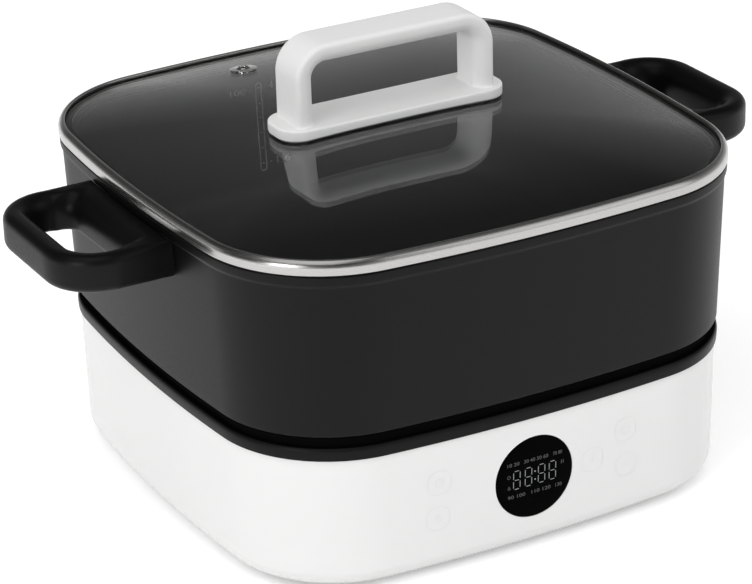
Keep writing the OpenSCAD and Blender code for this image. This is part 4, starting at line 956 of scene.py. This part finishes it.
bridgeSetup = {"half": 54.3, "top": 225.0, "thick": 9.8, "deep": 24, "corner": 17, "inner": (6.9, 6.2),
               "outer": 2.4, "crease": 76, "flare": 1.3, "outerFlare": 0.2, "legSunk": 3.0,
               "edgeSteps": 9, "barSteps": 9, "plate": (61.8, 15.5), "plateZ": 181.2,
               "plateThick": 4.0, "plateCorner": 12.5, "plateRound": 0.98, "flatInset": 8.0,
               "plateGap": 0.2, "padThick": 1.0, "padBack": 1.5, "padInset": 9, "padGap": 0.02,
               "screwHole": 2.7, "screwCut": (175, 186)}


# Arch carried along legs, quarter arcs and bar. Its section is a quarter circle at each outer edge
# and part of an ellipse at each inner one, which leaves a crease, and it widens by a quarter
# circle where a leg meets the plate.
def bridgeArch(s):
    halfT, halfD, barN = s["thick"] / 2, s["deep"] / 2, s["barSteps"]
    r, x0, zTop = s["corner"] - halfT, s["half"] - halfT, s["top"] - halfT
    zPlate = s["plateZ"] + s["plateThick"]
    flared = s["flare"] * (1 - np.cos(np.linspace(0, math.pi / 2, 8)))
    rise = np.concatenate([[-s["legSunk"]], flared, np.linspace(s["flare"] + 2, zTop - r - zPlate, 8)])
    leg = np.stack([np.full(len(rise), -x0), zPlate + rise], axis=1)
    a = np.linspace(math.pi, math.pi / 2, 18)[1:-1]
    bend = np.stack([-x0 + r + r * np.cos(a), zTop - r + r * np.sin(a)], axis=1)
    level = np.stack([np.linspace(-x0 + r, 0, barN), np.full(barN, zTop)], axis=1)
    half = np.concatenate([leg, bend, level])
    halfIn = np.concatenate([np.tile([1.0, 0.0], (len(leg), 1)), np.stack([-np.cos(a), -np.sin(a)], axis=1),
                             np.tile([0.0, -1.0], (barN, 1))])
    path, inward = (np.concatenate([v, v[-2::-1] * [-1, 1]]) for v in (half, halfIn))

    # section: t runs inwards and d to the back, with the inner edges in quadrants 0 and 3
    quadrant = np.repeat(np.arange(4), s["edgeSteps"])
    turn = np.tile(np.linspace(0, 1, s["edgeSteps"]), 4)
    signT, signD = quadrantSigns(quadrant)
    top = np.radians(np.where(signT > 0, s["crease"], 90))
    a = np.where((quadrant == 0) | (quadrant == 2), turn, 1 - turn) * top
    wide, deep = (np.where(signT > 0, inner, s["outer"]) for inner in s["inner"])
    t = signT * (halfT - wide + wide * np.cos(a))
    d = signD * (halfD - deep * np.sin(top) + deep * np.sin(a))
    outward = np.arctan2(signD * np.sin(a), signT * np.cos(a))
    share = np.where(signT > 0, 1, s["outerFlare"])
    h = np.clip(path[:, 1] - zPlate, 0, s["flare"])
    grow = (s["flare"] - np.sqrt(np.maximum(s["flare"] ** 2 - (s["flare"] - h) ** 2, 0)))[:, None]
    t = t[None] + grow * (share * np.cos(outward))[None]
    d = d[None] + grow * (share * np.sin(outward))[None]
    xz = path[:, None] + inward[:, None] * t[:, :, None]
    grid = np.stack([xz[:, :, 0], d, xz[:, :, 1]], axis=2)

    # each end is closed to a point in its middle
    n, m = grid.shape[:2]
    i = np.arange(m)
    j, first, last = (i + 1) % m, np.full(m, n * m), np.full(m, n * m + 1)
    caps = [np.stack([j, i, first, first], axis=1),
            np.stack([(n - 1) * m + i, (n - 1) * m + j, last, last], axis=1)]
    points, faces = gridPart(grid)
    middles = [grid[0].mean(axis=0), grid[-1].mean(axis=0)]
    return np.concatenate([points, middles]), np.concatenate([faces, *caps])


# Stack of rounded rectangles, (inset, height, scale) a row, set back from the plate's outline.
def plateGrid(s, back, rows):
    hx, hy = s["plate"]
    outline = roundRectOutline(hx - back, hy - back, s["plateCorner"] - back, 12, 14)
    return carry(outline, rows[:, 0], rows[:, 1], rows[:, 2])


# Plate under the arch. Its underside keeps a distance from the dome, so it falls to the ends.
def makeBridge(s):
    z0, z1, flat = s["plateZ"], s["plateZ"] + s["plateThick"], s["flatInset"]
    side = np.array([[0.6, z0], [0.15, z0 + 0.15], [0, z0 + 0.6]])
    edge = softCorners([[0, z0], [0, z1], [flat, z1]], [0, s["plateRound"], 0], 8)[8:16]
    inset = np.concatenate([side, edge])
    rows = np.concatenate([[[flat, z0, 0], [flat, z0, 1]], np.insert(inset, 2, 1, axis=1),
                           [[flat, z1, 1], [flat, z1, 0]]])
    grid = plateGrid(s, 0, rows)
    share = np.clip((z1 - grid[:, :, 2]) / (z1 - z0), 0, 1)
    grid[:, :, 2] -= share * (domeZ(0) - domeZ(domeShare(grid)) + s["plateGap"])
    part = joined(gridPart(grid), bridgeArch(s))
    putMesh("bridgeHandle", part, whiteSatin, "lid", "lid_handle", 35)


# Soft pad between plate and glass. It follows the dome and is set back from the plate's edge. Its grey is
# paler than the frame's dark gasket: painted light, so the line under the plate shows as pale as the plate's
# reflection in the glass.
def makePad(s):
    deep, t = s["padInset"], s["padThick"]
    rows = np.array([[deep, 0, 0], [deep, 0, 1], [0.2, 0, 1], [0, 0.1, 1], [0, t - 0.1, 1], [0.2, t, 1],
                     [deep, t, 1], [deep, t, 0]])
    grid = plateGrid(s, s["padBack"], rows)
    grid[:, :, 2] += domeZ(domeShare(grid)) + s["padGap"]
    obj = putMesh("bridgePad", gridPart(grid), padRubberPaintedLight, "lid", "handle_gasket")
    cutAway(obj, [rod(s["screwHole"], *s["screwCut"], (x, 0)) for x in lidSetup["screwX"]])


makeBridge(bridgeSetup)
makePad(bridgeSetup)
print("bridge handle made")


# finishes of the frame's own nodes
nodeFinish = {
    "bottom_cover": darkPlastic, "feet": footRubber, "cover_screws": screwSteel,
    "heating_plate": plateMetal, "heating_element": elementSteel, "heat_shield": sheetSteel,
    "plate_screws": screwSteel, "shield_screws": screwSteel,
    "sensor_guide": plainMaterial("whiteCeramic", (0.74, 0.71, 0.64), 0.55, vary=0.1, grain=400, relief=0.1),
    "sensor_cap": capMetal, "thermistor": plainMaterial("epoxyBead", (0.02, 0.02, 0.02), 0.4),
    "sensor_spring": screwSteel, "thermal_fuse": plainMaterial("fuseSleeve", (0.72, 0.7, 0.62), 0.6),
    "fuse_clip": sheetSteel, "clip_screws": screwSteel,
    "power_board": plainMaterial("solderMask", (0.03, 0.16, 0.08), 0.35, vary=0.2, grain=300, relief=0.2,
                                 cloud=120, colourVary=0.35),
    "relay": plainMaterial("relayCase", (0.06, 0.12, 0.36), 0.4),
    "filter_capacitor": plainMaterial("capacitorCase", (0.6, 0.45, 0.07), 0.4),
    "transformer": plainMaterial("coreTape", (0.45, 0.33, 0.08), 0.5, vary=0.2, grain=300, relief=0.3,
                                 cloud=60, stretch=(1, 1, 5)),
    "line_fuse": plainMaterial("fuseGlass", (0.7, 0.75, 0.75), 0.1, vary=0.1, grain=60, relief=0.02),
    "terminal_block": plainMaterial("terminalGreen", (0.06, 0.26, 0.12), 0.45), "board_screws": screwSteel,
    "display_module": plainMaterial("displayCase", (0.02, 0.02, 0.02), 0.3),
    "touch_pads": plainMaterial("padFoam", (0.12, 0.12, 0.12), 0.85, vary=0.1, grain=1500, relief=0.6),
    "buzzer": darkPlastic, "control_screws": screwSteel,
    "display_ribbon": plainMaterial("ribbonCable", (0.5, 0.5, 0.52), 0.45, vary=0.2, grain=400, relief=0.3,
                                    cloud=40, stretch=(6, 0.2, 0.2)),
    "inlet_socket": darkPlastic, "inlet_screws": screwSteel,
    "inlet_pins": plainMaterial("pinBrass", (0.66, 0.56, 0.3), 0.25, vary=0.2, grain=200, relief=0.05,
                                metal=1.0),
    "mains_leads": plainMaterial("brownJacket", (0.2, 0.09, 0.04), 0.5),
    "earth_lead": plainMaterial("greenJacket", (0.18, 0.36, 0.05), 0.5),
    "heater_leads": plainMaterial("whiteJacket", (0.6, 0.6, 0.56), 0.6, vary=0.1, grain=1200, relief=0.4),
    "handle_screws": screwSteel, "rim_seal": sealRubber, "lid_screws": screwSteel, "lid_washers": sealRubber}
nodeFinish["control_board"] = nodeFinish["power_board"]

for node, material in nodeFinish.items():
    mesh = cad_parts[node].data
    mesh.materials.clear()
    mesh.materials.append(material)
print("finishes of", len(nodeFinish), "nodes set")


# floor in millimetres; a lamp is its place and size in metres and its power in watts; the sky is
# brightness at shares of the way up
studio = {"floorHalf": 6000, "floorThick": 20, "floorColour": (0.9, 0.9, 0.9), "floorGlow": 0.3,
          "ambient": 0.74, "dimSide": 0.22, "dimFrom": (-0.3, 0.25), "aim": (0, 0, 0.1),
          "sky": ((0.0, 0.6), (0.05, 0.54), (0.16, 0.36), (0.33, 0.2), (0.42, 0.155), (0.62, 0.07),
                  (1.0, 0.06)),
          "lamps": (("keyLamp", (-1.9, -1.0, 0.75), (0.75, 0.95), 12),
                    ("fillLamp", (1.5, -1.9, 1.3), (1.7, 1.7), 8.2),
                    ("topLamp", (-0.7, -0.5, 2.2), (1.9, 1.9), 10.5),
                    ("sideLamp", (-1.7, 1.3, 0.6), (0.7, 0.9), 0.7))}


# One for rays that show the background: from the camera, or through a mirror or glass.
def viewRays(nodes, links):
    ray = nodes.new("ShaderNodeLightPath").outputs
    seen = mathNode(nodes, links, "MAXIMUM", ray["Is Camera Ray"], ray["Is Glossy Ray"])
    return mathNode(nodes, links, "MAXIMUM", seen, ray["Is Transmission Ray"])


# Flat floor that glows a little for the rays that show it, and keeps the object's shadow.
def makeFloor(s):
    half = s["floorHalf"]
    points, faces = block((-half, -half, -s["floorThick"]), (half, half, 0))
    floor = newObject("studioFloor", points, faces.tolist())
    mat, nodes, links, shader, coord = newMaterial("paleFloor")
    shader.inputs["Base Color"].default_value = (*s["floorColour"], 1)
    shader.inputs["Emission Color"].default_value = (1, 1, 1, 1)
    setShader(shader, rough=0.9, specular=0.1)
    glow = mathNode(nodes, links, "MULTIPLY", viewRays(nodes, links), s["floorGlow"])
    links.new(glow, shader.inputs["Emission Strength"])
    floor.data.materials.append(mat)


def background(nodes, strength=1.0):
    node = nodes.new("ShaderNodeBackground")
    node.inputs["Color"].default_value = (1, 1, 1, 1)
    node.inputs["Strength"].default_value = strength
    return node


def mixShaders(nodes, links, fac, first, second):
    node = nodes.new("ShaderNodeMixShader")
    links.new(fac, node.inputs["Fac"])
    links.new(first, node.inputs[1])
    links.new(second, node.inputs[2])
    return node.outputs[0]


# Even light for the object. What shows in gloss and glass is bright at the horizon, dim overhead
# and dim on the left, and what the camera sees past the floor is white.
def makeWorld(s):
    world = bpy.data.worlds.new("studio")
    scene.world = world
    world.use_nodes = True
    nodes, links = world.node_tree.nodes, world.node_tree.links
    nodes.clear()
    way = nodes.new("ShaderNodeSeparateXYZ")
    links.new(nodes.new("ShaderNodeTexCoord").outputs["Generated"], way.inputs[0])
    ramp = nodes.new("ShaderNodeValToRGB")
    elements = ramp.color_ramp.elements
    elements[0].position, elements[1].position = 0.0, 1.0
    for position, value in s["sky"][1:-1]:
        elements.new(position)
    for element, (position, value) in zip(elements, s["sky"]):
        element.color = (value, value, value, 1)
    links.new(way.outputs["Z"], ramp.inputs["Fac"])
    sky = background(nodes)
    links.new(ramp.outputs["Color"], sky.inputs["Color"])
    side = spread(nodes, links, way.outputs["X"], s["dimSide"], 1.0, *s["dimFrom"])
    links.new(side, sky.inputs["Strength"])
    even = background(nodes, s["ambient"])
    lit = mixShaders(nodes, links, viewRays(nodes, links), even.outputs[0], sky.outputs[0])
    camera = nodes.new("ShaderNodeLightPath").outputs["Is Camera Ray"]
    seen = mixShaders(nodes, links, camera, lit, background(nodes).outputs[0])
    links.new(seen, nodes.new("ShaderNodeOutputWorld").inputs["Surface"])


def makeLamps(s):
    for name, place, size, power in s["lamps"]:
        data = bpy.data.lights.new(name, "AREA")
        data.shape, data.size, data.size_y, data.energy = "RECTANGLE", size[0], size[1], power
        lamp = bpy.data.objects.new(name, data)
        lamp.location = place
        lamp.rotation_euler = (Vector(s["aim"]) - Vector(place)).to_track_quat("-Z", "Y").to_euler()
        scene.collection.objects.link(lamp)


makeFloor(studio)
makeWorld(studio)
makeLamps(studio)
print("studio lit")
